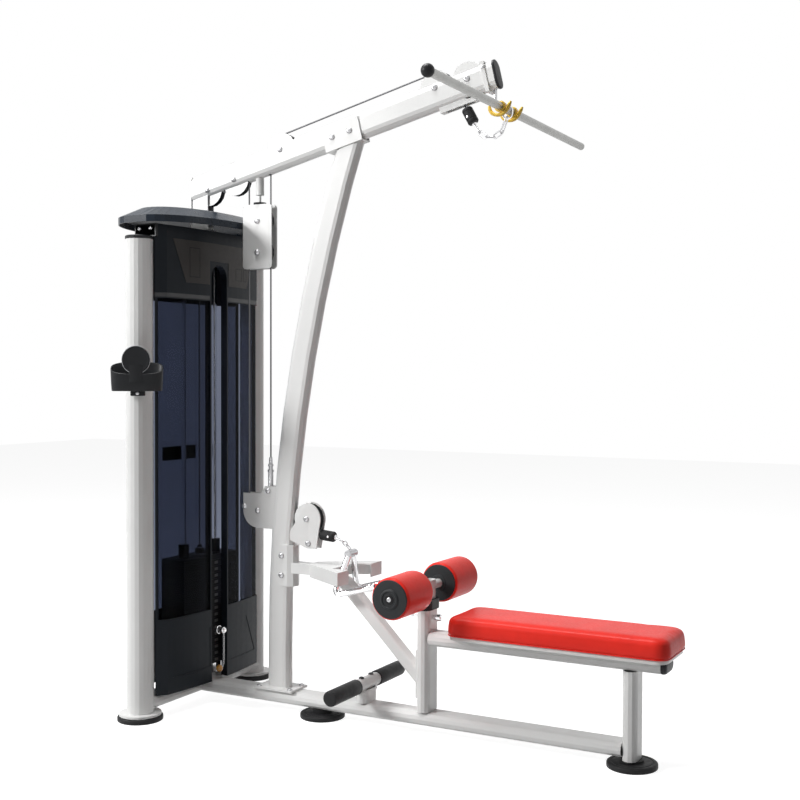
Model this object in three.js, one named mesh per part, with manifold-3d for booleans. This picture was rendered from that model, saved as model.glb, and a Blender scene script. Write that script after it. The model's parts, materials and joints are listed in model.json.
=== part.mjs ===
// Combined lat pulldown and low row machine, in millimetres, +Z up.
// x = 0 is the middle floor foot; the weight tower stands at negative x and the seat at positive x.
import * as THREE from 'three';
import { mergeVertices } from 'three/addons/utils/BufferGeometryUtils.js';
import Module from 'manifold-3d';

// ---------------------------------------------------------------- driving dimensions
const GAP = 0.3;                     // air left between touching pieces

const TUBE_WIDE = 100;               // flat-oval frame tube, long side
const TUBE_NARROW = 50;              // flat-oval frame tube, short side
const TUBE_WALL = 3;

const COLUMN_RADIUS = 51;            // tower columns
const COLUMN_HALF_SPAN = 359;        // columns stand at y = +- this
const COLUMN_TOP = 1798;
const COLUMN_CAP = 12.7;             // height of the black column end cap
const FLANGE_RADIUS = 79;
const FLANGE_THICKNESS = 8;

const FOOT_RADIUS = 85;
const FOOT_HEIGHT = 20;
const FOOT_STEM_RADIUS = 40;
const BASE_BOTTOM = 36;              // underside of the base tubes
const REAR_POST_BOTTOM = 28;

const MIDDLE_FOOT_X = 581;           // distances from the tower columns' plane
const REAR_POST_X = 1787;
const FRONT_POST_X = 1025;
const FRONT_POST_TOP = 455;

const UPRIGHT_X = 390;               // centre of the upright at its foot
const UPRIGHT_STRAIGHT = 250;        // height where its bend starts
const UPRIGHT_BEND_RADIUS = 5930;
const UPRIGHT_PLATE = [172, 112, 8]; // base plate: length, width, thickness

const BOOM_ANGLE = THREE.MathUtils.degToRad(13.4);
const BOOM_AXIS_HEIGHT = 2031;       // boom axis above the floor at the columns' plane
const BOOM_ROOT_X = -20;
const BOOM_TIP = 1322;               // along the boom's axis
const BOOM_ROOT_PLATE = 5;

const RAIL_BOTTOM = 326;             // seat rail
const RAIL_END = 1893;
const SEAT_FROM = 1146;
const SEAT_TO = 1944;
const SEAT_HALF_WIDTH = 132;
const SEAT_THICKNESS = 70;
const SEAT_BOARD = 15;
const SEAT_CORNER = 52;

const CABLE_RADIUS = 3;
const PULLEY_WIDTH = 25;
const AXLE_RADIUS = 8;
const BORE_CLEARANCE = 0.5;
const BOLT_RADIUS = 8;
const BOLT_PROUD = 2.6;              // how far a bolt's end stands out of its plate
const BOOM_PULLEY = { pitch: 58, outer: 63 };
const BLOCK_PULLEY = { pitch: 50.5, outer: 57 };
const ROW_PULLEY = { pitch: 53, outer: 58 };
const CHEEK_GAP = 2.5;               // between a pulley's side and its cheek plate
const PLATE = 5;                     // bracket plate thickness

const TIP_PULLEY_X = 1059;
const TIP_GUIDE_X = 1185;
const UP_CABLE_X = 345;              // vertical run that rises to the boom pulley
const DOWN_CABLE_X = UP_CABLE_X - 2 * BLOCK_PULLEY.pitch;

const BLOCK_HEIGHT = 248;            // floating pulley block
const BLOCK_WIDTH = 133;
const BLOCK_CENTRE = 1827;
const BLOCK_PITCH = 121;             // between its two pulleys
const BLOCK_TRAVEL = 300;

const LOW_PULLEY_Z = 769;
const ROW_PULLEY_AT = [520, 749];
const ANCHOR_AT = [345, 848];        // bolt that holds the fixed cable end

const ROD_RADIUS = 10;               // guide rods
const ROD_HALF_SPAN = 100;
const STACK_DEPTH = 110;
const STACK_HALF_WIDTH = 168;
const STACK_BOTTOM = 138;
const PLATE_THICKNESS = 25;
const PLATE_PITCH = PLATE_THICKNESS + 1;
const RESTING_PLATES = 5;
const LIFTED_PLATES = 11;
const HEAD_THICKNESS = 20;
const STEM_RADIUS = 12;
const STEM_CLEARANCE = 1.5;
const ROD_CLEARANCE = 1;
const PIN_RADIUS = 5;

const BEAM_DEPTH = 100;              // top crossbeam
const BEAM_TOP = 1860;
const BEAM_HALF_LENGTH = 325;
const BEAM_WALL = 4;

const SHROUD_BOTTOM = 85;
const SHROUD_TOP = 1856;
const SHROUD_FRONT = 100;            // front face at the centre line
const SHROUD_BULGE = 25;             // how much less far out it is at its shoulders
const SHROUD_SHOULDER = 290;
const SHROUD_WALL = 4;
const WINDOW_BOTTOM = 370;
const WINDOW_TOP = 1582;
const WINDOW_FROM = 57;
const WINDOW_EDGE_X = 46;            // the windows turn the shoulders and end here, near the columns
const PANE = 3;
const PANE_LAP = 12;                 // how far a pane reaches above and below its window
const SLOT_HALF_WIDTH = 50;
const SLOT_TOP = 1725;
const SLOT_DEPTH = 30;

const COVER_HALF_DEPTH = 215;        // tower cap, plan half sizes
const COVER_HALF_WIDTH = 392;
const COVER_CLIP = 382;
const COVER_BAND = 25;
const COVER_RISE = 40;
const COVER_TOP_SCALE = 0.66;
const COVER_WALL = 4;

const ROLLER_RADIUS = 75;
const ROLLER_LENGTH = 190;
const ROLLER_FROM = 93;              // inner end of each roller from the centre line
const ROLLER_HEIGHT = 533;
const AXLE_TUBE_RADIUS = 16;
const MAST_WIDE = 86;
const MAST_NARROW = 38;
const MAST_BOTTOM = 180;
const MAST_TRAVEL = 100;
const COLLAR_HEIGHT = 35;
const PIN_HEIGHT = 425;              // pull pin in the front post

const FOOTREST_X = 771;
const FOOTREST_HEIGHT = 153;
const FOOTREST_RADIUS = 24;
const FOOTREST_HALF_LENGTH = 259;
const GRIP_FROM = 72;
const GRIP_THICKNESS = 4;

const BAR_AT = [1358, 2195];         // lat bar axis
const BAR_RADIUS = 14;
const BAR_FROM = -665;
const BAR_TO = 672;
const BALL_RADIUS = 21;
const STOP_RADIUS = 20;
const STOP_LENGTH = 62;
const WIRE_RADIUS = 2.5;             // chain wire

const HOOKS_AT = [-126, -26];        // the bar's two open hooks, along it
const BAR_EYE_Y = -62;               // where the chain takes the bar
const HANDLE_HUB = [706, 630];       // ring that the row handle hangs from
const HANDLE_HALF_WIDTH = 78;
const HANDLE_TUBE = 10;

const ARM_BOTTOM = 538;
const ARM_TOP = 578;
const ARM_END = 674;

const X = new THREE.Vector3(1, 0, 0);
const Y = new THREE.Vector3(0, 1, 0);
const Z = new THREE.Vector3(0, 0, 1);

// ---------------------------------------------------------------- solids
const wasm = await Module();
wasm.setup();

function solidOf(geometry) {
  const bare = geometry.clone();
  bare.deleteAttribute('normal');
  bare.deleteAttribute('uv');
  const merged = mergeVertices(bare, 1e-3);
  return new wasm.Manifold(new wasm.Mesh({
    numProp: 3,
    vertProperties: new Float32Array(merged.attributes.position.array),
    triVerts: new Uint32Array(merged.index.array),
  }));
}

function geometryOf(solid) {
  const mesh = solid.getMesh();
  const geometry = new THREE.BufferGeometry();
  geometry.setAttribute('position', new THREE.BufferAttribute(mesh.vertProperties, 3));
  geometry.setIndex(new THREE.BufferAttribute(mesh.triVerts, 1));
  geometry.computeVertexNormals();
  return geometry;
}

const join = (first, ...rest) => rest.reduce((sum, next) => sum.add(next), first);
const cut = (first, ...rest) => rest.reduce((sum, next) => sum.subtract(next), first);

function box([x0, x1], [y0, y1], [z0, z1]) {
  const geometry = new THREE.BoxGeometry(x1 - x0, y1 - y0, z1 - z0);
  geometry.translate((x0 + x1) / 2, (y0 + y1) / 2, (z0 + z1) / 2);
  return solidOf(geometry);
}

// turns a geometry so that its x runs along `across`, its z along `along`, and its origin is at `origin`
function placed(geometry, origin, across, along) {
  const side = new THREE.Vector3().crossVectors(along, across);
  geometry.applyMatrix4(new THREE.Matrix4().makeBasis(across, side, along).setPosition(origin));
  return solidOf(geometry);
}

// closed profile of [radius, height] points, turned about the line from `origin` along `axis`
function turned(profile, origin, axis, segments = 20) {
  const closed = profile[0][0] === 0 ? profile : [...profile, profile[0]];
  const points = closed.map(([radius, height]) => new THREE.Vector2(radius, height));
  const geometry = new THREE.LatheGeometry(points, segments);
  geometry.rotateX(Math.PI / 2);
  const across = Math.abs(axis.z) > 0.9 ? X : new THREE.Vector3(-axis.z, 0, axis.x);
  return placed(geometry, origin, Math.abs(axis.y) > 0.9 ? X : across.normalize(), axis);
}

function rod(radius, from, to, segments = 16) {
  const axis = new THREE.Vector3().subVectors(to, from);
  const length = axis.length();
  const profile = [[0, 0], [radius, 0], [radius, length], [0, length]];
  return turned(profile, from, axis.normalize(), segments);
}

const at = (x, y, z) => new THREE.Vector3(x, y, z);
const rodY = (radius, x, z, y0, y1, segments) => rod(radius, at(x, y0, z), at(x, y1, z), segments);
const rodX = (radius, y, z, x0, x1, segments) => rod(radius, at(x0, y, z), at(x1, y, z), segments);
const rodZ = (radius, x, y, z0, z1, segments) => rod(radius, at(x, y, z0), at(x, y, z1), segments);

// flat-oval outline, its long side along the shape's x
function oval(wide, narrow) {
  const radius = narrow / 2;
  const middle = wide / 2 - radius;
  const shape = new THREE.Shape();
  shape.absarc(middle, 0, radius, -Math.PI / 2, Math.PI / 2);
  shape.absarc(-middle, 0, radius, Math.PI / 2, Math.PI * 1.5);
  return shape;
}

function ovalBar(wide, narrow, length, origin, across, along) {
  const settings = { depth: length, bevelEnabled: false, curveSegments: 3 };
  return placed(new THREE.ExtrudeGeometry(oval(wide, narrow), settings), origin, across, along);
}

function ovalTube(length, origin, across, along, wide = TUBE_WIDE, narrow = TUBE_NARROW) {
  const shape = oval(wide, narrow);
  shape.holes.push(oval(wide - 2 * TUBE_WALL, narrow - 2 * TUBE_WALL));
  const settings = { depth: length, bevelEnabled: false, curveSegments: 3 };
  return placed(new THREE.ExtrudeGeometry(shape, settings), origin, across, along);
}

function rounded(x0, x1, y0, y1, radius) {
  const shape = new THREE.Shape();
  shape.absarc(x1 - radius, y0 + radius, radius, -Math.PI / 2, 0);
  shape.absarc(x1 - radius, y1 - radius, radius, 0, Math.PI / 2);
  shape.absarc(x0 + radius, y1 - radius, radius, Math.PI / 2, Math.PI);
  shape.absarc(x0 + radius, y0 + radius, radius, Math.PI, Math.PI * 1.5);
  return shape;
}

const outline = (points) => new THREE.Shape(points.map(([u, v]) => new THREE.Vector2(u, v)));

// plate with its outline in x and z, between two values of y
function plateXZ(shape, y0, y1, curveSegments = 4) {
  const settings = { depth: y1 - y0, bevelEnabled: false, curveSegments };
  return placed(new THREE.ExtrudeGeometry(shape, settings), at(0, y1, 0), X, Y.clone().negate());
}

// block with its outline in x and y, between two values of z
function plateXY(shape, z0, z1, curveSegments = 4) {
  const settings = { depth: z1 - z0, bevelEnabled: false, curveSegments };
  return placed(new THREE.ExtrudeGeometry(shape, settings), at(0, 0, z0), X, Z);
}

// plate with its outline in y and z, between two values of x
function plateYZ(shape, x0, x1, curveSegments = 4) {
  const settings = { depth: x1 - x0, bevelEnabled: false, curveSegments };
  return placed(new THREE.ExtrudeGeometry(shape, settings), at(x0, 0, 0), Y, X);
}

// a route through chosen points: straight between them, with one ring of the tube at each
class Route extends THREE.Curve {
  constructor(points) {
    super();
    this.points = points;
  }

  getPoint(t, target = new THREE.Vector3()) {
    const place = Math.min(t, 1) * (this.points.length - 1);
    const index = Math.min(Math.floor(place + 1e-9), this.points.length - 2);
    return target.lerpVectors(this.points[index], this.points[index + 1], place - index);
  }

  getPointAt(u, target) {
    return this.getPoint(u, target);
  }

  getTangentAt(u, target = new THREE.Vector3()) {
    const index = Math.round(u * (this.points.length - 1));
    const before = this.points[Math.max(index - 1, 0)];
    const after = this.points[Math.min(index + 1, this.points.length - 1)];
    return target.subVectors(after, before).normalize();
  }
}

function wire(points, radius, sides = 6) {
  const shape = outline(Array.from({ length: sides }, (_, side) => {
    const angle = (side / sides) * 2 * Math.PI;
    return [radius * Math.cos(angle), radius * Math.sin(angle)];
  }));
  const settings = { steps: points.length - 1, bevelEnabled: false, extrudePath: new Route(points) };
  return solidOf(new THREE.ExtrudeGeometry(shape, settings));
}

// ---------------------------------------------------------------- the machine's group
const WHITE = { color: '#f1f1ef', roughness: 0.32, metalness: 0.1 };
const BLACK = { color: '#1b1c1e', roughness: 0.6, metalness: 0.0 };
const SHROUD = { color: '#2b2f36', roughness: 0.45, metalness: 0.0 };
const SMOKE = { color: '#323848', roughness: 0.15, metalness: 0.0, transparent: true, opacity: 0.6 };
const STEEL = { color: '#c9cbcd', roughness: 0.25, metalness: 1.0 };
const GREY = { color: '#8e9092', roughness: 0.35, metalness: 0.9 };
const IRON = { color: '#141516', roughness: 0.6, metalness: 0.3 };
const RED = { color: '#ee332c', roughness: 0.35, metalness: 0.0 };
const YELLOW = { color: '#e9a91c', roughness: 0.4, metalness: 0.0 };

const machine = new THREE.Group();
machine.position.x = -MIDDLE_FOOT_X;

function add(name, solid, finish) {
  const mesh = new THREE.Mesh(geometryOf(solid), new THREE.MeshStandardMaterial(finish));
  mesh.name = name;
  machine.add(mesh);
}

const SIDES = [['near', -1], ['far', 1]];

// ---------------------------------------------------------------- floor feet, base and columns
const TUBE_TOP = BASE_BOTTOM + TUBE_NARROW;      // top of the base tubes, which lie flat
const COLUMN_BOTTOM = FOOT_HEIGHT + GAP;

function foot(name, x, y, stemTop) {
  const profile = [[0, 0], [FOOT_RADIUS - 3, 0], [FOOT_RADIUS, 3], [FOOT_RADIUS, 13],
    [FOOT_RADIUS - 7, FOOT_HEIGHT], [FOOT_STEM_RADIUS, FOOT_HEIGHT]];
  if (stemTop > FOOT_HEIGHT) profile.push([FOOT_STEM_RADIUS, stemTop]);
  profile.push([0, stemTop]);
  add(name, turned(profile, at(x, y, 0), Z), BLACK);
}

function columns() {
  const inner = COLUMN_RADIUS - TUBE_WALL;
  for (const [side, sign] of SIDES) {
    const y = sign * COLUMN_HALF_SPAN;
    const profile = [[inner, 0], [FLANGE_RADIUS, 0], [FLANGE_RADIUS, FLANGE_THICKNESS],
      [COLUMN_RADIUS, FLANGE_THICKNESS], [COLUMN_RADIUS, COLUMN_TOP - COLUMN_BOTTOM],
      [inner, COLUMN_TOP - COLUMN_BOTTOM]];
    const lid = [[0, -20], [inner + 1, -20], [inner + 1, -1], [COLUMN_RADIUS + 1, 0],
      [COLUMN_RADIUS + 1, COLUMN_CAP - 3], [COLUMN_RADIUS - 3, COLUMN_CAP], [0, COLUMN_CAP]];
    const column = join(turned(profile, at(0, y, COLUMN_BOTTOM), Z), turned(lid, at(0, y, COLUMN_TOP), Z));
    add(`column_${side}`, column, WHITE);
    foot(`foot_tower_${side}`, 0, y, FOOT_HEIGHT);
  }
}

const crossbeamClearance = ovalBar(TUBE_WIDE + 2 * GAP, TUBE_NARROW + 2 * GAP, 4 * TUBE_WIDE,
  at(0, -2 * TUBE_WIDE, BASE_BOTTOM + TUBE_NARROW / 2), X, Y);

function base() {
  const middle = BASE_BOTTOM + TUBE_NARROW / 2;
  const columnClearance = SIDES.map(([, sign]) => rodZ(
    COLUMN_RADIUS + GAP, 0, sign * COLUMN_HALF_SPAN, 0, TUBE_TOP + TUBE_NARROW, 20));
  const whole = ovalTube(2 * COLUMN_HALF_SPAN, at(0, -COLUMN_HALF_SPAN, middle), X, Y);
  add('base_crossbeam', cut(whole, ...columnClearance), WHITE);
  const length = REAR_POST_X - TUBE_NARROW / 2 - GAP;
  add('base_tube', cut(ovalTube(length, at(0, 0, middle), Y.clone().negate(), X), crossbeamClearance), WHITE);
  foot('foot_middle', MIDDLE_FOOT_X, 0, BASE_BOTTOM - GAP);
  foot('foot_rear', REAR_POST_X, 0, REAR_POST_BOTTOM - GAP);
}

// ---------------------------------------------------------------- boom frame of reference
const boomAlong = at(Math.cos(BOOM_ANGLE), 0, Math.sin(BOOM_ANGLE));
const boomUp = at(-Math.sin(BOOM_ANGLE), 0, Math.cos(BOOM_ANGLE));
const boomAt = (u, v, y = 0) => at(0, y, BOOM_AXIS_HEIGHT)
  .addScaledVector(boomAlong, u).addScaledVector(boomUp, v);
const boomAxisAt = (x) => BOOM_AXIS_HEIGHT + x * Math.tan(BOOM_ANGLE);

function boomBlock([u0, u1], [v0, v1], [y0, y1]) {
  const geometry = new THREE.BoxGeometry(v1 - v0, y1 - y0, u1 - u0);
  return placed(geometry, boomAt((u0 + u1) / 2, (v0 + v1) / 2, (y0 + y1) / 2), boomUp, boomAlong);
}

// pulley centres: [x, z], with their rise above the boom's axis
const REAR_PULLEY = [BOOM_PULLEY.pitch, boomAxisAt(BOOM_PULLEY.pitch) - 23];
const FRONT_PULLEY = [DOWN_CABLE_X - BOOM_PULLEY.pitch, boomAxisAt(DOWN_CABLE_X - BOOM_PULLEY.pitch) - 20];
const MID_PULLEY = [UP_CABLE_X + BOOM_PULLEY.pitch, boomAxisAt(UP_CABLE_X + BOOM_PULLEY.pitch) + 25];
const TIP_PULLEY = [TIP_PULLEY_X, boomAxisAt(TIP_PULLEY_X) + 30];
const TIP_GUIDE = [TIP_GUIDE_X, boomAxisAt(TIP_GUIDE_X) + 17];
const BLOCK_X = (UP_CABLE_X + DOWN_CABLE_X) / 2;
const BLOCK_UPPER = [BLOCK_X, BLOCK_CENTRE + BLOCK_PITCH / 2];
const BLOCK_LOWER = [BLOCK_X, BLOCK_CENTRE - BLOCK_PITCH / 2];
const LOW_PULLEY_AT = [DOWN_CABLE_X + ROW_PULLEY.pitch, LOW_PULLEY_Z];

const CHEEK_IN = PULLEY_WIDTH / 2 + CHEEK_GAP;   // inner face of a cheek plate, from y = 0
const CHEEK_OUT = CHEEK_IN + PLATE;

// ---------------------------------------------------------------- pulleys
function pulley(name, [x, z], size) {
  const half = PULLEY_WIDTH / 2;
  const groove = size.pitch - CABLE_RADIUS - 1;
  const bore = AXLE_RADIUS + BORE_CLEARANCE;
  const profile = [[bore, -half], [size.outer, -half], [size.outer, 3 - half], [groove, -CABLE_RADIUS - 0.3],
    [groove, CABLE_RADIUS + 0.3], [size.outer, half - 3], [size.outer, half], [bore, half]];
  add(name, turned(profile, at(x, 0, z), Y, 18), BLACK);
}

// a bolt across a bracket that is `halfGrip` wide on each side of the centre line
function bolt([x, z], halfGrip, radius = AXLE_RADIUS) {
  return rodY(radius, x, z, -halfGrip - BOLT_PROUD, halfGrip + BOLT_PROUD, 16);
}

function pulleys() {
  pulley('rear_tower_pulley', REAR_PULLEY, BOOM_PULLEY);
  pulley('front_tower_pulley', FRONT_PULLEY, BOOM_PULLEY);
  pulley('boom_pulley', MID_PULLEY, BOOM_PULLEY);
  pulley('tip_pulley', TIP_PULLEY, BOOM_PULLEY);
  pulley('tip_guide_pulley', TIP_GUIDE, BOOM_PULLEY);
  pulley('upper_block_pulley', BLOCK_UPPER, BLOCK_PULLEY);
  pulley('lower_block_pulley', BLOCK_LOWER, BLOCK_PULLEY);
  pulley('low_pulley', LOW_PULLEY_AT, ROW_PULLEY);
  pulley('row_pulley', ROW_PULLEY_AT, ROW_PULLEY);
}

// ---------------------------------------------------------------- upright and boom
function uprightPath() {
  const points = [at(UPRIGHT_X, 0, TUBE_TOP + GAP), at(UPRIGHT_X, 0, UPRIGHT_STRAIGHT)];
  const top = BOOM_AXIS_HEIGHT + UPRIGHT_X * Math.tan(BOOM_ANGLE) + TUBE_WIDE - UPRIGHT_STRAIGHT;
  const turn = Math.asin(top / UPRIGHT_BEND_RADIUS);
  const steps = 9;
  for (let step = 1; step <= steps; step += 1) {
    const angle = (turn * step) / steps;
    points.push(at(UPRIGHT_X + UPRIGHT_BEND_RADIUS * (1 - Math.cos(angle)), 0,
      UPRIGHT_STRAIGHT + UPRIGHT_BEND_RADIUS * Math.sin(angle)));
  }
  return points;
}

function alongUpright(shape) {
  const points = uprightPath();
  const settings = { steps: points.length - 1, bevelEnabled: false, curveSegments: 3,
    extrudePath: new Route(points) };
  return solidOf(new THREE.ExtrudeGeometry(shape, settings));
}

// the swept section's x lies across the machine, so its long side is turned into y
function turnedOval(wide, narrow) {
  const radius = narrow / 2;
  const middle = wide / 2 - radius;
  const shape = new THREE.Shape();
  shape.absarc(0, middle, radius, 0, Math.PI);
  shape.absarc(0, -middle, radius, Math.PI, Math.PI * 2);
  return shape;
}

const uprightClearance = alongUpright(turnedOval(TUBE_WIDE + 2 * GAP, TUBE_NARROW + 2 * GAP));
const SADDLE_FROM = 617;
const SADDLE_TO = 775;
const SADDLE_BOLTS = [654, 731];
const SADDLE_RISE = 92;

function upright() {
  const section = turnedOval(TUBE_WIDE, TUBE_NARROW);
  section.holes.push(turnedOval(TUBE_WIDE - 2 * TUBE_WALL, TUBE_NARROW - 2 * TUBE_WALL));
  const [length, width, thickness] = UPRIGHT_PLATE;
  const bottom = TUBE_TOP + GAP;
  const plate = box([UPRIGHT_X - length / 2, UPRIGHT_X + length / 2], [-width / 2, width / 2],
    [bottom, bottom + thickness]);
  const bolts = [];
  for (const dx of [-1, 1]) {
    for (const dy of [-1, 1]) {
      bolts.push(rodZ(BOLT_RADIUS, UPRIGHT_X + dx * (length / 2 - 16), dy * (width / 2 - 14),
        bottom + thickness - 1, bottom + thickness + BOLT_PROUD, 12));
    }
  }
  const aboveBoom = boomBlock([0, BOOM_TIP], [-TUBE_WIDE / 2 - PLATE - 2 * GAP, 4 * TUBE_WIDE],
    [-TUBE_WIDE, TUBE_WIDE]);
  const cableWindow = box([UPRIGHT_X - TUBE_WIDE, UPRIGHT_X + 2 * TUBE_WIDE], [-12, 12],
    [LOW_PULLEY_Z - ROW_PULLEY.pitch - 42, LOW_PULLEY_Z - ROW_PULLEY.pitch + 30]);
  add('upright', cut(join(alongUpright(section), plate, ...bolts), aboveBoom, cableWindow), WHITE);
}

function saddle() {
  const inside = TUBE_NARROW / 2 + GAP;
  const floor = -TUBE_WIDE / 2 - GAP;
  const outside = boomBlock([SADDLE_FROM, SADDLE_TO], [floor - PLATE, floor - PLATE + SADDLE_RISE],
    [-inside - PLATE, inside + PLATE]);
  const channel = boomBlock([SADDLE_FROM - 1, SADDLE_TO + 1], [floor, TUBE_WIDE], [-inside, inside]);
  const bolts = [];
  for (const u of SADDLE_BOLTS) {
    for (const [, sign] of SIDES) {
      const centre = boomAt(u, -7, 0);
      const ends = [sign * (inside + PLATE - 1), sign * (inside + PLATE + BOLT_PROUD)].sort((a, b) => a - b);
      bolts.push(rodY(BOLT_RADIUS, centre.x, centre.z, ends[0], ends[1], 12));
    }
  }
  add('boom_saddle', join(cut(outside, channel), ...bolts), WHITE);
}

function boom() {
  const half = TUBE_NARROW / 2;
  const tube = ovalTube(BOOM_TIP + 60, boomAt(-60, 0), boomUp, boomAlong);
  const behind = box([-200, BOOM_ROOT_X], [-TUBE_WIDE, TUBE_WIDE], [1700, 2400]);
  const plateBottom = BEAM_TOP + GAP;
  const bottomAt = (x) => boomAxisAt(x) - TUBE_WIDE / 2 / Math.cos(BOOM_ANGLE);
  const topAtRoot = boomAxisAt(BOOM_ROOT_X) + TUBE_WIDE / 2 / Math.cos(BOOM_ANGLE);
  const rootPlate = plateYZ(rounded(-half, half, plateBottom, topAtRoot, 6), BOOM_ROOT_X - BOOM_ROOT_PLATE,
    BOOM_ROOT_X + 1);
  const footPlate = box([BOOM_ROOT_X - 12, 62], [-CHEEK_OUT - 6, CHEEK_OUT + 6],
    [plateBottom, plateBottom + 8]);
  const cheeks = SIDES.map(([, sign]) => {
    const faces = [sign * CHEEK_IN, sign * CHEEK_OUT].sort((a, b) => a - b);
    return plateXZ(outline([[BOOM_ROOT_X, plateBottom + 1], [58, plateBottom + 1], [58, bottomAt(58) + 14],
      [BOOM_ROOT_X, bottomAt(BOOM_ROOT_X) + 14]]), faces[0], faces[1]);
  });
  const guideFrom = 1094;
  const guideTo = 1262;
  const guide = boomBlock([guideFrom, guideTo], [-TUBE_WIDE / 2 - 15, -TUBE_WIDE / 2 + 8], [-15, 15]);
  const band = cut(boomBlock([1282, 1296], [-TUBE_WIDE / 2 - 4, TUBE_WIDE / 2 + 4], [-half - 4, half + 4]),
    boomBlock([1281, 1297], [-TUBE_WIDE / 2 + 1, TUBE_WIDE / 2 - 1], [-half + 1, half - 1]));
  const stemAt = boomAt(1308, -TUBE_WIDE / 2);
  const stem = rodZ(6, stemAt.x, 0, stemAt.z - 34, stemAt.z + 2, 10);
  const stopX = BLOCK_X;
  const stopTop = boomAxisAt(stopX) - TUBE_WIDE / 2 / Math.cos(BOOM_ANGLE);
  const buffer = [[0, -98], [25, -98], [25, -91], [5, -89], [5, -64], [16, -62], [16, 3], [0, 3]];
  const body = join(tube, guide);
  const centres = [REAR_PULLEY, FRONT_PULLEY, MID_PULLEY, TIP_PULLEY, TIP_GUIDE];
  const slots = centres.map(([x, z]) => rodY(BOOM_PULLEY.outer + 5, x, z, -CHEEK_IN, CHEEK_IN, 16));
  const cableHoles = [
    rodZ(9, 0, 0, plateBottom - 5, REAR_PULLEY[1], 12),
    rodZ(9, UP_CABLE_X, 0, boomAxisAt(UP_CABLE_X) - TUBE_WIDE, MID_PULLEY[1], 12),
    box([TIP_PULLEY_X + 40, TIP_GUIDE_X + 20], [-9, 9], [boomAxisAt(TIP_PULLEY_X) - 90, TIP_PULLEY[1]]),
  ];
  const shell = join(cut(body, behind), rootPlate, footPlate, ...cheeks, band, stem,
    turned(buffer, at(stopX, 0, stopTop), Z, 16));
  const opened = cut(shell, ...slots, ...cableHoles);
  add('boom', join(opened, ...centres.map((centre) => bolt(centre, half))), WHITE);

  const lid = ovalBar(TUBE_WIDE + 6, TUBE_NARROW + 6, 9, boomAt(BOOM_TIP + GAP, 0), boomUp, boomAlong);
  add('boom_end_cap', lid, BLACK);
}

// ---------------------------------------------------------------- tower
const RESTING_TOP = STACK_BOTTOM + RESTING_PLATES * PLATE_PITCH;
const LIFTED_TOP = RESTING_TOP + LIFTED_PLATES * PLATE_PITCH;
const HEAD_BOTTOM = LIFTED_TOP + GAP;
const HEAD_TOP = HEAD_BOTTOM + HEAD_THICKNESS;
const PIN_AT = RESTING_TOP + PLATE_THICKNESS / 2;
const CABLE_BOLT_TOP = HEAD_TOP + 40;

function topBeam() {
  const bottom = COLUMN_TOP + COLUMN_CAP + 2 * GAP;
  const half = BEAM_DEPTH / 2;
  const outside = box([-half, half], [-BEAM_HALF_LENGTH, BEAM_HALF_LENGTH], [bottom, BEAM_TOP]);
  const inside = box([-half + BEAM_WALL, half - BEAM_WALL], [-BEAM_HALF_LENGTH - 1, BEAM_HALF_LENGTH + 1],
    [bottom + BEAM_WALL, BEAM_TOP - BEAM_WALL]);
  add('top_crossbeam', cut(outside, inside, rodZ(15, 0, 0, bottom - 1, BEAM_TOP + 1, 16)), IRON);
  for (const [side, sign] of SIDES) {
    const y = sign * ROD_HALF_SPAN;
    const bumper = rodZ(30, 0, y, TUBE_TOP + GAP, STACK_BOTTOM - GAP, 16);
    add(`guide_rod_${side}`, join(rodZ(ROD_RADIUS, 0, y, TUBE_TOP + GAP, bottom - GAP, 16), bumper), STEEL);
  }
}

// a pile of plates with a groove at every joint, bored for the guide rods and the selector stem
function plates(count, bottom) {
  const top = bottom + count * PLATE_PITCH - (PLATE_PITCH - PLATE_THICKNESS);
  const half = STACK_DEPTH / 2;
  let pile = box([-half, half], [-STACK_HALF_WIDTH, STACK_HALF_WIDTH], [bottom, top]);
  for (let index = 1; index < count; index += 1) {
    const groove = bottom + index * PLATE_PITCH;
    const ring = cut(
      box([-half - 1, half + 1], [-STACK_HALF_WIDTH - 1, STACK_HALF_WIDTH + 1],
        [groove - (PLATE_PITCH - PLATE_THICKNESS), groove]),
      box([-half + 4, half - 4], [-STACK_HALF_WIDTH + 4, STACK_HALF_WIDTH - 4], [groove - 3, groove + 3]));
    pile = cut(pile, ring);
  }
  const bores = SIDES.map(([, sign]) => rodZ(
    ROD_RADIUS + ROD_CLEARANCE, 0, sign * ROD_HALF_SPAN, bottom - 1, top + 1, 16));
  return cut(pile, ...bores, rodZ(STEM_RADIUS + STEM_CLEARANCE, 0, 0, bottom - 1, top + 1, 16));
}

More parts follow.
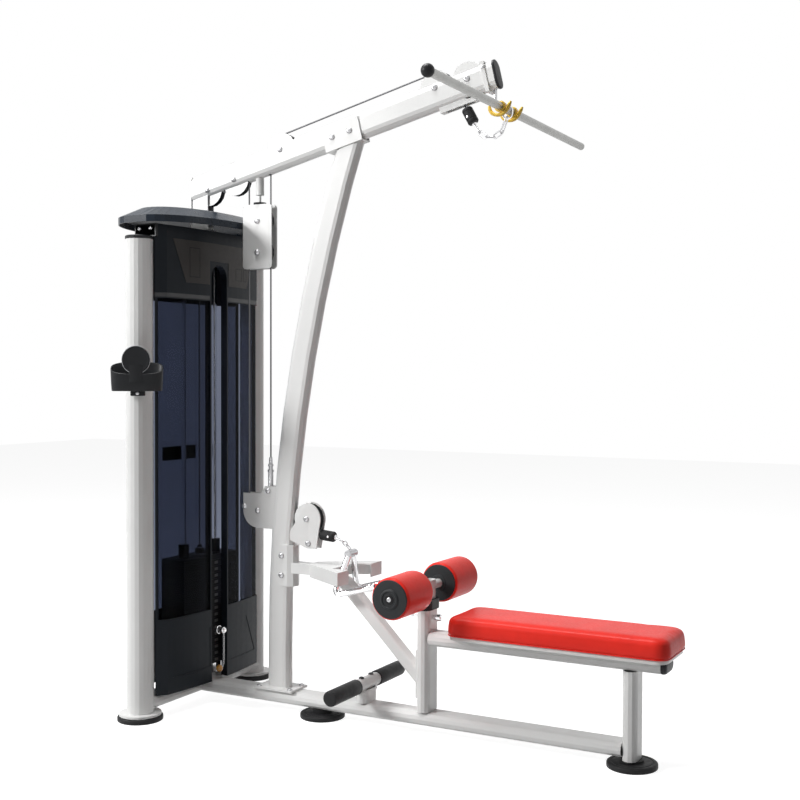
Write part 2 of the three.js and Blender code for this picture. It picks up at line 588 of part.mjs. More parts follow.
function stack() {
  add('resting_plates', plates(RESTING_PLATES, STACK_BOTTOM), IRON);
  const pinHole = rodX(PIN_RADIUS + 1, 0, PIN_AT, -STACK_DEPTH, STACK_DEPTH, 12);
  add('lifted_plates', cut(plates(LIFTED_PLATES, RESTING_TOP), pinHole), IRON);
  const half = STACK_DEPTH / 2;
  const head = box([-half, half], [-STACK_HALF_WIDTH, STACK_HALF_WIDTH], [HEAD_BOTTOM, HEAD_TOP]);
  const collars = SIDES.map(([, sign]) => rodZ(21, 0, sign * ROD_HALF_SPAN, HEAD_TOP - 1, HEAD_TOP + 52, 16));
  const bores = SIDES.map(([, sign]) => rodZ(
    ROD_RADIUS + ROD_CLEARANCE, 0, sign * ROD_HALF_SPAN, HEAD_BOTTOM - 1, HEAD_TOP + 60, 16));
  const boltHead = rodZ(19, 0, 0, HEAD_TOP - 1, HEAD_TOP + 26, 6);
  const terminal = rodZ(9, 0, 0, HEAD_TOP + 20, CABLE_BOLT_TOP, 12);
  add('head_plate', cut(join(head, ...collars, boltHead, terminal), ...bores), IRON);
  const stem = cut(rodZ(STEM_RADIUS, 0, 0, STACK_BOTTOM + 4, HEAD_BOTTOM - GAP, 16), pinHole);
  add('selector_stem', stem, STEEL);
  const headX = SHROUD_FRONT - 12;
  const pin = [[0, 0], [3, 0], [PIN_RADIUS, 4], [PIN_RADIUS, headX + 24], [11, headX + 24], [13, headX + 28],
    [13, headX + 36], [9, headX + 42], [0, headX + 42]];
  const chainX = headX + 10;
  const drop = PIN_AT - 126;
  const lanyard = wire([at(chainX, 9, PIN_AT), at(chainX, 24, PIN_AT - 4), at(chainX, 28, PIN_AT - 14),
    at(chainX, 29, PIN_AT - 60), at(chainX, 28, drop + 16), at(chainX, 22, drop + 4), at(chainX, 8, drop)],
  WIRE_RADIUS, 6);
  const ball = new THREE.SphereGeometry(14, 10, 7);
  ball.rotateX(Math.PI / 2);
  const pinBody = turned(pin, at(-24, 0, PIN_AT), X, 16);
  add('selector_pin', join(pinBody, lanyard, placed(ball, at(chainX, 0, drop), X, Z)), STEEL);
}

// ---------------------------------------------------------------- shroud and tower cap
// front face of the shroud in plan, `inset` behind its outside, for |y| up to `reach`
function shroudLine(inset, reach, steps = 14) {
  const points = [];
  for (let step = 0; step <= steps; step += 1) {
    const y = -reach + (2 * reach * step) / steps;
    points.push([SHROUD_FRONT - SHROUD_BULGE * (y / SHROUD_SHOULDER) ** 2 - inset, y]);
  }
  return points;
}

// plan outline of a shell from column to column, between two depths behind the shroud's outside;
// `sign` is +1 in front and -1 behind
function shroudPlan(sign, outerDepth, innerDepth) {
  const line = (depth) => {
    const edge = [40 - 0.75 * depth, COLUMN_HALF_SPAN - 39 - 1.25 * depth];
    return [[edge[0], -edge[1]], ...shroudLine(depth, SHROUD_SHOULDER - 0.75 * depth), edge];
  };
  return [...line(outerDepth), ...line(innerDepth).reverse()].map(([x, y]) => [sign * x, y]);
}

function shrouds() {
  const shell = (sign) => plateXY(outline(shroudPlan(sign, 0, SHROUD_WALL)), SHROUD_BOTTOM, SHROUD_TOP);
  const windows = SIDES.map(([, sign]) => {
    const edges = [sign * WINDOW_FROM, sign * COLUMN_HALF_SPAN].sort((a, b) => a - b);
    return box([WINDOW_EDGE_X, 2 * SHROUD_FRONT], edges, [WINDOW_BOTTOM, WINDOW_TOP]);
  });
  const slotShape = (half) => {
    const shape = new THREE.Shape();
    shape.moveTo(-half, SHROUD_BOTTOM - 5);
    shape.lineTo(half, SHROUD_BOTTOM - 5);
    shape.absarc(0, SLOT_TOP - SLOT_HALF_WIDTH, half, 0, Math.PI);
    return shape;
  };
  const slot = plateYZ(slotShape(SLOT_HALF_WIDTH), 0, 2 * SHROUD_FRONT);
  const beamRoom = box([-BEAM_DEPTH / 2 - GAP, BEAM_DEPTH / 2 + GAP], [-COLUMN_HALF_SPAN, COLUMN_HALF_SPAN],
    [COLUMN_TOP + COLUMN_CAP, SHROUD_TOP + 1]);
  const channel = cut(
    plateYZ(slotShape(SLOT_HALF_WIDTH + SHROUD_WALL), SHROUD_FRONT - SLOT_DEPTH, SHROUD_FRONT - 1),
    box([0, 2 * SHROUD_FRONT], [-TUBE_WIDE, TUBE_WIDE], [0, SHROUD_BOTTOM]));
  // sunk trapezoids beside the slot's foot, and a groove over the windows
  const skin = (depth, z0, z1) => plateXY(outline(shroudPlan(1, -1, depth)), z0, z1);
  const sunk = SIDES.map(([, sign]) => {
    const corners = [[WINDOW_FROM + 2, 146], [268, 146], [195, 302], [WINDOW_FROM + 2, 302]];
    const shape = outline((sign > 0 ? corners : corners.reverse()).map(([y, z]) => [sign * y, z]));
    return skin(1.6, SHROUD_BOTTOM, WINDOW_BOTTOM).intersect(plateYZ(shape, 0, 2 * SHROUD_FRONT));
  });
  const groove = cut(skin(1.2, WINDOW_TOP + 4, WINDOW_TOP + 20),
    box([0, 2 * SHROUD_FRONT], [-WINDOW_FROM, WINDOW_FROM], [WINDOW_TOP, WINDOW_TOP + 40]));
  add('front_shroud', cut(join(shell(1), channel), ...windows, slot, beamRoom, ...sunk, groove), SHROUD);

  // the rear shell's window is moulded in one with it, and is a little thinner than the wall round it
  const opening = box([-2 * SHROUD_FRONT, -WINDOW_EDGE_X], [-COLUMN_HALF_SPAN, COLUMN_HALF_SPAN],
    [WINDOW_BOTTOM, WINDOW_TOP]);
  const edge = box([-2 * SHROUD_FRONT, 1 - WINDOW_EDGE_X], [-COLUMN_HALF_SPAN, COLUMN_HALF_SPAN],
    [WINDOW_BOTTOM - 1, WINDOW_TOP + 1]);
  const rearPane = plateXY(outline(shroudPlan(-1, 0.7, SHROUD_WALL - 0.5)), SHROUD_BOTTOM, SHROUD_TOP);
  add('rear_shroud', join(cut(shell(-1), opening, beamRoom), rearPane.intersect(edge)), SHROUD);

  const behind = SHROUD_WALL + 0.4;
  const pane = plateXY(outline(shroudPlan(1, behind, behind + PANE)), WINDOW_BOTTOM - PANE_LAP,
    WINDOW_TOP + PANE_LAP);
  for (const [side, sign] of SIDES) {
    const inner = SLOT_HALF_WIDTH + SHROUD_WALL + GAP;
    const edges = [sign * inner, sign * COLUMN_HALF_SPAN].sort((a, b) => a - b);
    add(`window_${side}`, pane.intersect(box([0, 2 * SHROUD_FRONT], edges, [0, COLUMN_TOP])), SMOKE);
  }
}

// closed solid through rings that share their number of points
function loft(rings) {
  const count = rings[0].length;
  const positions = rings.flat(2);
  const index = [];
  for (let level = 0; level < rings.length - 1; level += 1) {
    for (let step = 0; step < count; step += 1) {
      const a = level * count + step;
      const b = level * count + ((step + 1) % count);
      index.push(a, b, b + count, a, b + count, a + count);
    }
  }
  const last = (rings.length - 1) * count;
  for (let step = 1; step < count - 1; step += 1) {
    index.push(0, step + 1, step, last, last + step, last + step + 1);
  }
  const geometry = new THREE.BufferGeometry();
  geometry.setAttribute('position', new THREE.Float32BufferAttribute(positions, 3));
  geometry.setIndex(index);
  return solidOf(geometry);
}

// super-ellipse with its two ends cut off flat
function coverRing(halfDepth, halfWidth, clip, z) {
  const power = 2 / 2.2;
  const count = 44;
  return Array.from({ length: count }, (_, step) => {
    const angle = ((step + 0.5) / count) * 2 * Math.PI;
    const c = Math.cos(angle);
    const s = Math.sin(angle);
    const y = halfWidth * Math.sign(s) * Math.abs(s) ** power;
    return [halfDepth * Math.sign(c) * Math.abs(c) ** power, Math.max(-clip, Math.min(clip, y)), z];
  });
}

function cover() {
  const levels = (inset, z0, z1, z2) => [
    coverRing(COVER_HALF_DEPTH - inset, COVER_HALF_WIDTH - inset, COVER_CLIP - inset, z0),
    coverRing(COVER_HALF_DEPTH - inset, COVER_HALF_WIDTH - inset, COVER_CLIP - inset, z1),
    coverRing((COVER_HALF_DEPTH - inset) * COVER_TOP_SCALE, (COVER_HALF_WIDTH - inset) * 0.77,
      COVER_CLIP - inset, z2)];
  const top = BEAM_TOP + COVER_BAND + COVER_RISE;
  const outside = loft(levels(0, BEAM_TOP, BEAM_TOP + COVER_BAND, top));
  const inside = loft(levels(COVER_WALL, BEAM_TOP - 1, BEAM_TOP + COVER_BAND - 1, top - COVER_WALL));
  const rootOpening = box([BOOM_ROOT_X - 20, 70], [-34, 34], [BEAM_TOP - 1, top + 10]);
  add('tower_cap', cut(outside, inside, rootOpening), SHROUD);
}

// ---------------------------------------------------------------- floating block and row brackets
function floatingBlock() {
  const sides = SIDES.map(([, sign]) => {
    const faces = [sign * CHEEK_IN, sign * CHEEK_OUT].sort((a, b) => a - b);
    return plateXZ(rounded(BLOCK_X - BLOCK_WIDTH / 2, BLOCK_X + BLOCK_WIDTH / 2,
      BLOCK_CENTRE - BLOCK_HEIGHT / 2, BLOCK_CENTRE + BLOCK_HEIGHT / 2, 16), faces[0], faces[1], 3);
  });
  const axles = [bolt(BLOCK_UPPER, CHEEK_OUT), bolt(BLOCK_LOWER, CHEEK_OUT)];
  add('floating_block', join(...sides, ...axles), WHITE);
}

function lowBracket() {
  const [x, z] = LOW_PULLEY_AT;
  const reach = ROW_PULLEY.outer + 10;
  const right = UPRIGHT_X - 5;
  const shape = new THREE.Shape();
  shape.moveTo(x - reach, z + 66);
  shape.lineTo(x - reach, z);
  shape.absarc(x, z, reach, Math.PI, Math.PI * 1.5);
  shape.lineTo(right, z - reach);
  shape.lineTo(right, z + 96);
  shape.lineTo(ANCHOR_AT[0] - 14, z + 96);
  shape.lineTo(ANCHOR_AT[0] - 30, z + 66);
  const sides = SIDES.map(([, sign]) => {
    const faces = [sign * CHEEK_IN, sign * CHEEK_OUT].sort((a, b) => a - b);
    return plateXZ(shape, faces[0], faces[1]);
  });
  const guard = bolt([x - reach + 6, z + 14], CHEEK_OUT, 4);
  const anchor = bolt(ANCHOR_AT, CHEEK_OUT, 7);
  const eye = rodZ(8, ANCHOR_AT[0], 0, ANCHOR_AT[1], ANCHOR_AT[1] + 60, 12);
  const terminal = rodZ(6, ANCHOR_AT[0], 0, ANCHOR_AT[1] + 58, ANCHOR_AT[1] + 126, 10);
  const whole = join(sides[0], sides[1], bolt(LOW_PULLEY_AT, CHEEK_OUT), guard, anchor, eye, terminal);
  add('low_pulley_bracket', cut(whole, uprightClearance), WHITE);
}

function rowBracket() {
  const [x, z] = ROW_PULLEY_AT;
  const reach = ROW_PULLEY.outer + 4;
  const left = UPRIGHT_X + 40;
  const bottom = z - 112;
  const shape = new THREE.Shape();
  shape.moveTo(left, z + reach);
  shape.absarc(x, z, reach, Math.PI / 2, -0.32, true);
  shape.lineTo(x + 44, bottom);
  shape.lineTo(x + 2, bottom);
  shape.lineTo(left, bottom + 34);
  const sides = SIDES.map(([, sign]) => {
    const faces = [sign * CHEEK_IN, sign * CHEEK_OUT].sort((a, b) => a - b);
    return plateXZ(shape, faces[0], faces[1]);
  });
  const guide = bolt([x + 8, z - 92], CHEEK_OUT);
  const whole = join(sides[0], sides[1], bolt(ROW_PULLEY_AT, CHEEK_OUT), guide);
  add('row_pulley_bracket', cut(whole, uprightClearance), WHITE);
}

// ---------------------------------------------------------------- row arm, handle rest and brace
const BRACE_ANGLE = THREE.MathUtils.degToRad(-45);
const LANDING = 6;                   // plate where the brace meets the front post

function rowArm() {
  const section = outline([[402, -31], [440, -31], [462, -22], [470, 0], [462, 22], [440, 31], [402, 31]]);
  const sleeve = plateXY(section, 487, 645);
  const arm = box([440, ARM_END], [-TUBE_NARROW / 2, TUBE_NARROW / 2], [ARM_BOTTOM, ARM_TOP]);
  const bolts = [604, 529].map((z) => bolt([414, z], 31, BOLT_RADIUS));
  const cutArm = cut(join(sleeve, arm, ...bolts), uprightClearance);
  add('row_arm', join(cutArm, handleRest()), WHITE);
}

function handleRest() {
  const bottom = ARM_TOP - 46;
  const top = ARM_TOP + 4;
  const fan = (grow, end) => outline([[545 - grow, -28 - grow], [end, -158 - grow], [end, 158 + grow],
    [545 - grow, 28 + grow]]);
  const shell = cut(plateXY(fan(5, 745), bottom, top), plateXY(fan(0, 740), bottom - 1, top - 5));
  const front = box([676, 750], [-84, 84], [bottom - 1, top + 1]);
  const back = box([530, 546], [-40, 40], [bottom - 1, top - 5]);
  return cut(shell, front, back);
}

function brace() {
  const postFace = FRONT_POST_X - TUBE_NARROW / 2;
  const along = at(Math.cos(BRACE_ANGLE), 0, Math.sin(BRACE_ANGLE));
  const across = at(-along.z, 0, along.x);
  const height = 44;
  const shape = rounded(-height / 2, height / 2, -25, 25, 9);
  shape.holes.push(rounded(-height / 2 + 3, height / 2 - 3, -22, 22, 6));
  const start = at(620, 0, 583);
  const settings = { depth: 600, bevelEnabled: false, curveSegments: 2 };
  const bar = placed(new THREE.ExtrudeGeometry(shape, settings), start, across, along);
  const landingX = postFace - GAP - LANDING;
  const beyond = box([landingX + 1, postFace + 500], [-200, 200], [-300, 1000]);
  const above = box([0, 2000], [-200, 200], [ARM_BOTTOM - GAP, 1000]);
  const plate = box([landingX, landingX + LANDING], [-31, 31], [132, 305]);
  add('row_brace', join(cut(bar, beyond, above), plate), WHITE);
}

// ---------------------------------------------------------------- seat
function seat() {
  const post = (x, z0, z1) => ovalTube(z1 - z0, at(x, 0, z0), Y, Z);
  const pinBore = rodX(PIN_RADIUS + 1, 0, PIN_HEIGHT, FRONT_POST_X, FRONT_POST_X + TUBE_NARROW, 12);
  const collarAt = at(FRONT_POST_X, 0, FRONT_POST_TOP - 1);
  const collar = cut(
    ovalBar(TUBE_WIDE + 14, TUBE_NARROW + 14, COLLAR_HEIGHT + 1, collarAt, Y, Z),
    ovalBar(MAST_WIDE + 3, MAST_NARROW + 3, COLLAR_HEIGHT + 2, collarAt, Y, Z));
  add('front_post', join(cut(post(FRONT_POST_X, TUBE_TOP + GAP, FRONT_POST_TOP), pinBore), collar), WHITE);
  add('rear_post', post(REAR_POST_X, REAR_POST_BOTTOM, RAIL_BOTTOM - GAP), WHITE);
  const railFrom = FRONT_POST_X + TUBE_NARROW / 2 + GAP;
  const railMiddle = RAIL_BOTTOM + TUBE_NARROW / 2;
  add('seat_rail', ovalTube(RAIL_END - railFrom, at(railFrom, 0, railMiddle), Y.clone().negate(), X), WHITE);
  const lid = join(
    ovalBar(TUBE_WIDE, TUBE_NARROW, 10, at(RAIL_END + GAP, 0, railMiddle), Y.clone().negate(), X),
    ovalBar(TUBE_WIDE - 14, TUBE_NARROW - 14, 19, at(RAIL_END + GAP, 0, railMiddle), Y.clone().negate(), X));
  add('seat_rail_cap', lid, BLACK);

  const boardBottom = RAIL_BOTTOM + TUBE_NARROW + GAP;
  const inset = 14;
  const board = rounded(SEAT_FROM + inset, SEAT_TO - inset, inset - SEAT_HALF_WIDTH, SEAT_HALF_WIDTH - inset,
    SEAT_CORNER - inset);
  const padBottom = boardBottom + SEAT_BOARD - 1;
  const pad = (grow) => rounded(SEAT_FROM - grow, SEAT_TO + grow, -SEAT_HALF_WIDTH - grow,
    SEAT_HALF_WIDTH + grow, SEAT_CORNER + grow);
  const settings = { depth: SEAT_THICKNESS - 24, bevelThickness: 12, bevelSize: 12, bevelSegments: 2,
    curveSegments: 4 };
  const geometry = new THREE.ExtrudeGeometry(pad(-12), settings);
  const base = plateXY(board, boardBottom, boardBottom + SEAT_BOARD);
  add('seat_pad', join(placed(geometry, at(0, 0, padBottom + 12), X, Z), base), RED);
}

function rollers() {
  const mastTop = ROLLER_HEIGHT + AXLE_TUBE_RADIUS + 8;
  const mastAt = at(FRONT_POST_X, 0, MAST_BOTTOM);
  const tube = ovalTube(mastTop - MAST_BOTTOM, mastAt, Y, Z, MAST_WIDE, MAST_NARROW);
  const reach = ROLLER_FROM + ROLLER_LENGTH + 4;
  const axleTube = rodY(AXLE_TUBE_RADIUS, FRONT_POST_X, ROLLER_HEIGHT, -reach, reach, 20);
  const track = box([FRONT_POST_X + 8, FRONT_POST_X + 30], [-PIN_RADIUS - 2, PIN_RADIUS + 2],
    [PIN_HEIGHT - MAST_TRAVEL - PIN_RADIUS - 4, PIN_HEIGHT + PIN_RADIUS + 2]);
  add('roller_mast', cut(join(tube, axleTube), track), WHITE);

  const bore = AXLE_TUBE_RADIUS + 1;
  const profile = [[bore, 0], [ROLLER_RADIUS - 12, 0], [ROLLER_RADIUS - 3, 4], [ROLLER_RADIUS, 13],
    [ROLLER_RADIUS, ROLLER_LENGTH - 13], [ROLLER_RADIUS - 3, ROLLER_LENGTH - 4],
    [ROLLER_RADIUS - 12, ROLLER_LENGTH], [bore, ROLLER_LENGTH]];
  for (const [side, sign] of SIDES) {
    const start = sign > 0 ? ROLLER_FROM : -ROLLER_FROM - ROLLER_LENGTH;
    add(`roller_${side}`, turned(profile, at(FRONT_POST_X, start, ROLLER_HEIGHT), Y, 24), RED);
  }
  const face = FRONT_POST_X + TUBE_NARROW / 2;
  const nose = MAST_NARROW / 2 + GAP - TUBE_NARROW / 2;
  const pull = [[0, nose], [PIN_RADIUS - 1.5, nose], [PIN_RADIUS, nose + 2], [PIN_RADIUS, 3], [9, 3], [9, 14],
    [12, 16], [12, 30], [9, 33], [0, 33]];
  add('pull_pin', turned(pull, at(face, 0, PIN_HEIGHT), X, 16), STEEL);
}

function footrest() {
  const underBar = FOOTREST_HEIGHT - FOOTREST_RADIUS;
  const stub = ovalTube(underBar - TUBE_TOP - GAP + 6, at(FOOTREST_X, 0, TUBE_TOP + GAP), Y, Z);
  const bar = rodY(FOOTREST_RADIUS, FOOTREST_X, FOOTREST_HEIGHT, -FOOTREST_HALF_LENGTH + 6,
    FOOTREST_HALF_LENGTH - 6, 20);
  const barTop = FOOTREST_HEIGHT + FOOTREST_RADIUS;
  const bolts = [-35, 35].map((y) => rodZ(BOLT_RADIUS, FOOTREST_X, y, barTop - 3, barTop + BOLT_PROUD, 12));
  add('footrest', join(stub, bar, ...bolts), WHITE);
  const inside = FOOTREST_RADIUS + GAP;
  const outside = inside + GRIP_THICKNESS;
  const length = FOOTREST_HALF_LENGTH - GRIP_FROM;
  const sleeve = [[inside, 0], [outside, 0], [outside, length - 3], [outside - 3, length], [0, length],
    [0, length - 5], [inside, length - 5]];
  for (const [side, sign] of SIDES) {
    const points = sleeve.map(([radius, height]) => new THREE.Vector2(radius, height));
    const geometry = new THREE.LatheGeometry([points[5], points[6], ...points.slice(0, 5)], 20);
    geometry.rotateX(Math.PI / 2);
    const origin = at(FOOTREST_X, sign * GRIP_FROM, FOOTREST_HEIGHT);
    add(`foot_grip_${side}`, placed(geometry, origin, X, at(0, sign, 0)), BLACK);
  }
}

// ---------------------------------------------------------------- cables
// Centre line of a cable over pulleys: {x, z, r, s}, with s +1 for a left turn, -1 for a right turn.
function cableLine(stops) {
  const leave = [];
  for (let i = 0; i < stops.length - 1; i += 1) {
    const [a, b] = [stops[i], stops[i + 1]];
    const [dx, dz] = [b.x - a.x, b.z - a.z];
    const [ra, rb] = [(a.s ?? 0) * (a.r ?? 0), (b.s ?? 0) * (b.r ?? 0)];
    const heading = Math.atan2(dz, dx) - Math.asin((rb - ra) / Math.hypot(dx, dz));
    const normal = [-Math.sin(heading), Math.cos(heading)];
    leave.push({ heading, from: [a.x - normal[0] * ra, a.z - normal[1] * ra],
      to: [b.x - normal[0] * rb, b.z - normal[1] * rb] });
  }
  const points = [at(leave[0].from[0], 0, leave[0].from[1])];
  for (let i = 0; i < leave.length; i += 1) {
    points.push(at(leave[i].to[0], 0, leave[i].to[1]));
    const stop = stops[i + 1];
    const next = leave[i + 1];
    if (!next) break;
    const full = 2 * Math.PI;
    const turn = stop.s > 0 ? (next.heading - leave[i].heading + full) % full
      : -((leave[i].heading - next.heading + full) % full);
    const steps = Math.max(1, Math.ceil(Math.abs(turn) / (Math.PI / 9)));
    for (let step = 1; step <= steps; step += 1) {
      const heading = leave[i].heading + (turn * step) / steps;
      const radius = stop.s * stop.r;
      points.push(at(stop.x + Math.sin(heading) * radius, 0, stop.z - Math.cos(heading) * radius));
    }
  }
  return points.filter((point, i) => i === 0 || point.distanceTo(points[i - 1]) > 0.5);
}

const overPulley = ([x, z], size, s) => ({ x, z, r: size.pitch, s });
const LAT_STOP_ANGLE = THREE.MathUtils.degToRad(-61);
const latDown = at(Math.cos(LAT_STOP_ANGLE), 0, Math.sin(LAT_STOP_ANGLE));
const latStopTop = at(TIP_GUIDE[0], 0, TIP_GUIDE[1])
  .add(at(latDown.z, 0, -latDown.x).multiplyScalar(BOOM_PULLEY.pitch)).addScaledVector(latDown, 80);
const lowPulley = at(LOW_PULLEY_AT[0], 0, LOW_PULLEY_AT[1]);
const rowDirection = at(ROW_PULLEY_AT[0], 0, ROW_PULLEY_AT[1]).sub(lowPulley).normalize();
const rowStopStart = lowPulley.clone()
  .add(at(rowDirection.z, 0, -rowDirection.x).multiplyScalar(ROW_PULLEY.pitch))
  .addScaledVector(rowDirection, 282);

function cables() {
  const latEnd = latStopTop.clone().addScaledVector(latDown, -GAP);
  const rowEnd = rowStopStart.clone().addScaledVector(rowDirection, -GAP);
  const latLine = cableLine([
    { x: 0, z: CABLE_BOLT_TOP + GAP }, overPulley(REAR_PULLEY, BOOM_PULLEY, -1),
    overPulley(FRONT_PULLEY, BOOM_PULLEY, -1), overPulley(BLOCK_UPPER, BLOCK_PULLEY, 1),
    overPulley(MID_PULLEY, BOOM_PULLEY, -1), overPulley(TIP_PULLEY, BOOM_PULLEY, -1),
    overPulley(TIP_GUIDE, BOOM_PULLEY, 1), { x: latEnd.x, z: latEnd.z }]);
  add('lat_cable', wire(latLine, CABLE_RADIUS), GREY);
  const rowLine = cableLine([
    { x: ANCHOR_AT[0], z: ANCHOR_AT[1] + 126 + GAP }, overPulley(BLOCK_LOWER, BLOCK_PULLEY, 1),
    overPulley(LOW_PULLEY_AT, ROW_PULLEY, 1), { x: rowEnd.x, z: rowEnd.z }]);
  add('row_cable', wire(rowLine, CABLE_RADIUS), GREY);
}

// ---------------------------------------------------------------- chains, bar and handle
// a fused chain of oval links along a line of points, each link turned a quarter from the last
function chain(points) {
  const links = [];
  for (let i = 0; i < points.length - 1; i += 1) {
    const along = new THREE.Vector3().subVectors(points[i + 1], points[i]);
    const length = along.length() + 1.5 * WIRE_RADIUS;
    const middle = new THREE.Vector3().addVectors(points[i + 1], points[i]).multiplyScalar(0.5);
    along.normalize();
    const upright = new THREE.Vector3().crossVectors(along, Y).normalize();
    const across = i % 2 ? upright : Y.clone();
    const half = length / 2 - 8;
    const ring = [];
    const steps = 8;
    for (let step = 0; step <= steps; step += 1) {
      const angle = (step / steps) * 2 * Math.PI;
      const u = 8 * Math.cos(angle) + (Math.cos(angle) > 0 ? half : -half);
      ring.push(middle.clone().addScaledVector(along, u).addScaledVector(across, 8 * Math.sin(angle)));
    }
    const normal = new THREE.Vector3().crossVectors(along, across);
    links.push(ringOf(ring.slice(0, steps), normal));
  }
  return join(...links);
}

// closed loop of wire through points that lie in one plane
function ringOf(points, normal) {
  const sides = 5;
  const rings = points.map((point, i) => {
    const next = points[(i + 1) % points.length];
    const before = points[(i + points.length - 1) % points.length];
    const out = new THREE.Vector3().subVectors(next, before).normalize().cross(normal);
    return Array.from({ length: sides }, (_, side) => {
      const angle = (side / sides) * 2 * Math.PI;
      return point.clone().addScaledVector(out, WIRE_RADIUS * Math.cos(angle))
        .addScaledVector(normal, WIRE_RADIUS * Math.sin(angle));
    });
  });
  const positions = rings.flat().flatMap((point) => [point.x, point.y, point.z]);
  const index = [];
  for (let i = 0; i < points.length; i += 1) {
    for (let side = 0; side < sides; side += 1) {
      const a = i * sides + side;
      const b = i * sides + ((side + 1) % sides);
      const c = ((i + 1) % points.length) * sides + side;
      const d = ((i + 1) % points.length) * sides + ((side + 1) % sides);
      index.push(a, b, d, a, d, c);
    }
  }
  const geometry = new THREE.BufferGeometry();
  geometry.setAttribute('position', new THREE.Float32BufferAttribute(positions, 3));
  geometry.setIndex(index);
  const solid = solidOf(geometry);
  if (solid.volume() > 0) return solid;
  geometry.setIndex(index.map((_, i) => index[i - (i % 3) + 2 - (i % 3)]));
  return solidOf(geometry);
}

function cableStop(name, start, direction) {
  const profile = [[0, 0], [STOP_RADIUS - 6, 0], [STOP_RADIUS, 8], [STOP_RADIUS, STOP_LENGTH - 4],
    [STOP_RADIUS - 4, STOP_LENGTH], [0, STOP_LENGTH]];
  add(name, turned(profile, start, direction, 16), BLACK);
}

function latStation() {
  cableStop('lat_stop', latStopTop, latDown);
  const [x, z] = BAR_AT;
  const bar = rodY(BAR_RADIUS, x, z, BAR_FROM, BAR_TO, 20);
  const ball = new THREE.SphereGeometry(BALL_RADIUS, 12, 8);
  ball.rotateX(Math.PI / 2);
  const eye = rodZ(7, x, BAR_EYE_Y, z - BAR_RADIUS - 4, z - 4, 10);
  const stopEnd = latStopTop.clone().addScaledVector(latDown, STOP_LENGTH + GAP + WIRE_RADIUS + 2);
  const hang = [[22, -6, -32], [52, -18, -52], [90, -34, -58], [124, -48, -46]]
    .map(([dx, y, dz]) => at(stopEnd.x + dx, y, stopEnd.z + dz));
  add('lat_chain', chain([stopEnd, ...hang, at(x - 3, BAR_EYE_Y, z - BAR_RADIUS - 14)]), STEEL);

  const bend = [[-40, 2], [-34, -14], [-16, -25], [4, -25], [20, -15], [30, 0], [38, 14]];
  const hooks = HOOKS_AT.map((y) => wire(bend.map(([dx, dz]) => at(x + dx, y, z + dz)), 6.5, 6));
  const band = [[BAR_RADIUS - 1, -9], [BAR_RADIUS + 8, -9], [BAR_RADIUS + 8, 9], [BAR_RADIUS - 1, 9]];
  const collars = HOOKS_AT.map((y) => turned(band, at(x, y, z), Y, 20));
  const hanger = join(...hooks, ...collars);
  add('lat_bar', join(bar, placed(ball, at(x, BAR_FROM, z), X, Z), eye, hanger), STEEL);
}

function rowStation() {
  cableStop('row_stop', rowStopStart, rowDirection);
  const [x, z] = HANDLE_HUB;
  const stopEnd = rowStopStart.clone().addScaledVector(rowDirection, STOP_LENGTH + GAP + WIRE_RADIUS + 2);
  add('row_chain', chain([stopEnd, at((stopEnd.x + x) / 2, 0, (stopEnd.z + z) / 2 + 14),
    at(x - 4, 0, z + 18)]), STEEL);

  const hub = rodY(12, x, z, -26, 26, 16);
  const sides = SIDES.map(([, sign]) => {
    const y = sign * HANDLE_HALF_WIDTH;
    return wire([at(x, sign * 12, z), at(x - 2, sign * 22, z - 12), at(x - 20, y - sign * 8, z - 120),
      at(x - 17, y - sign * 2, z - 135), at(x - 4, y, z - 141), at(x + 149, y, z - 99)], HANDLE_TUBE, 8);
  });
  add('row_handle', join(hub, ...sides), STEEL);
}

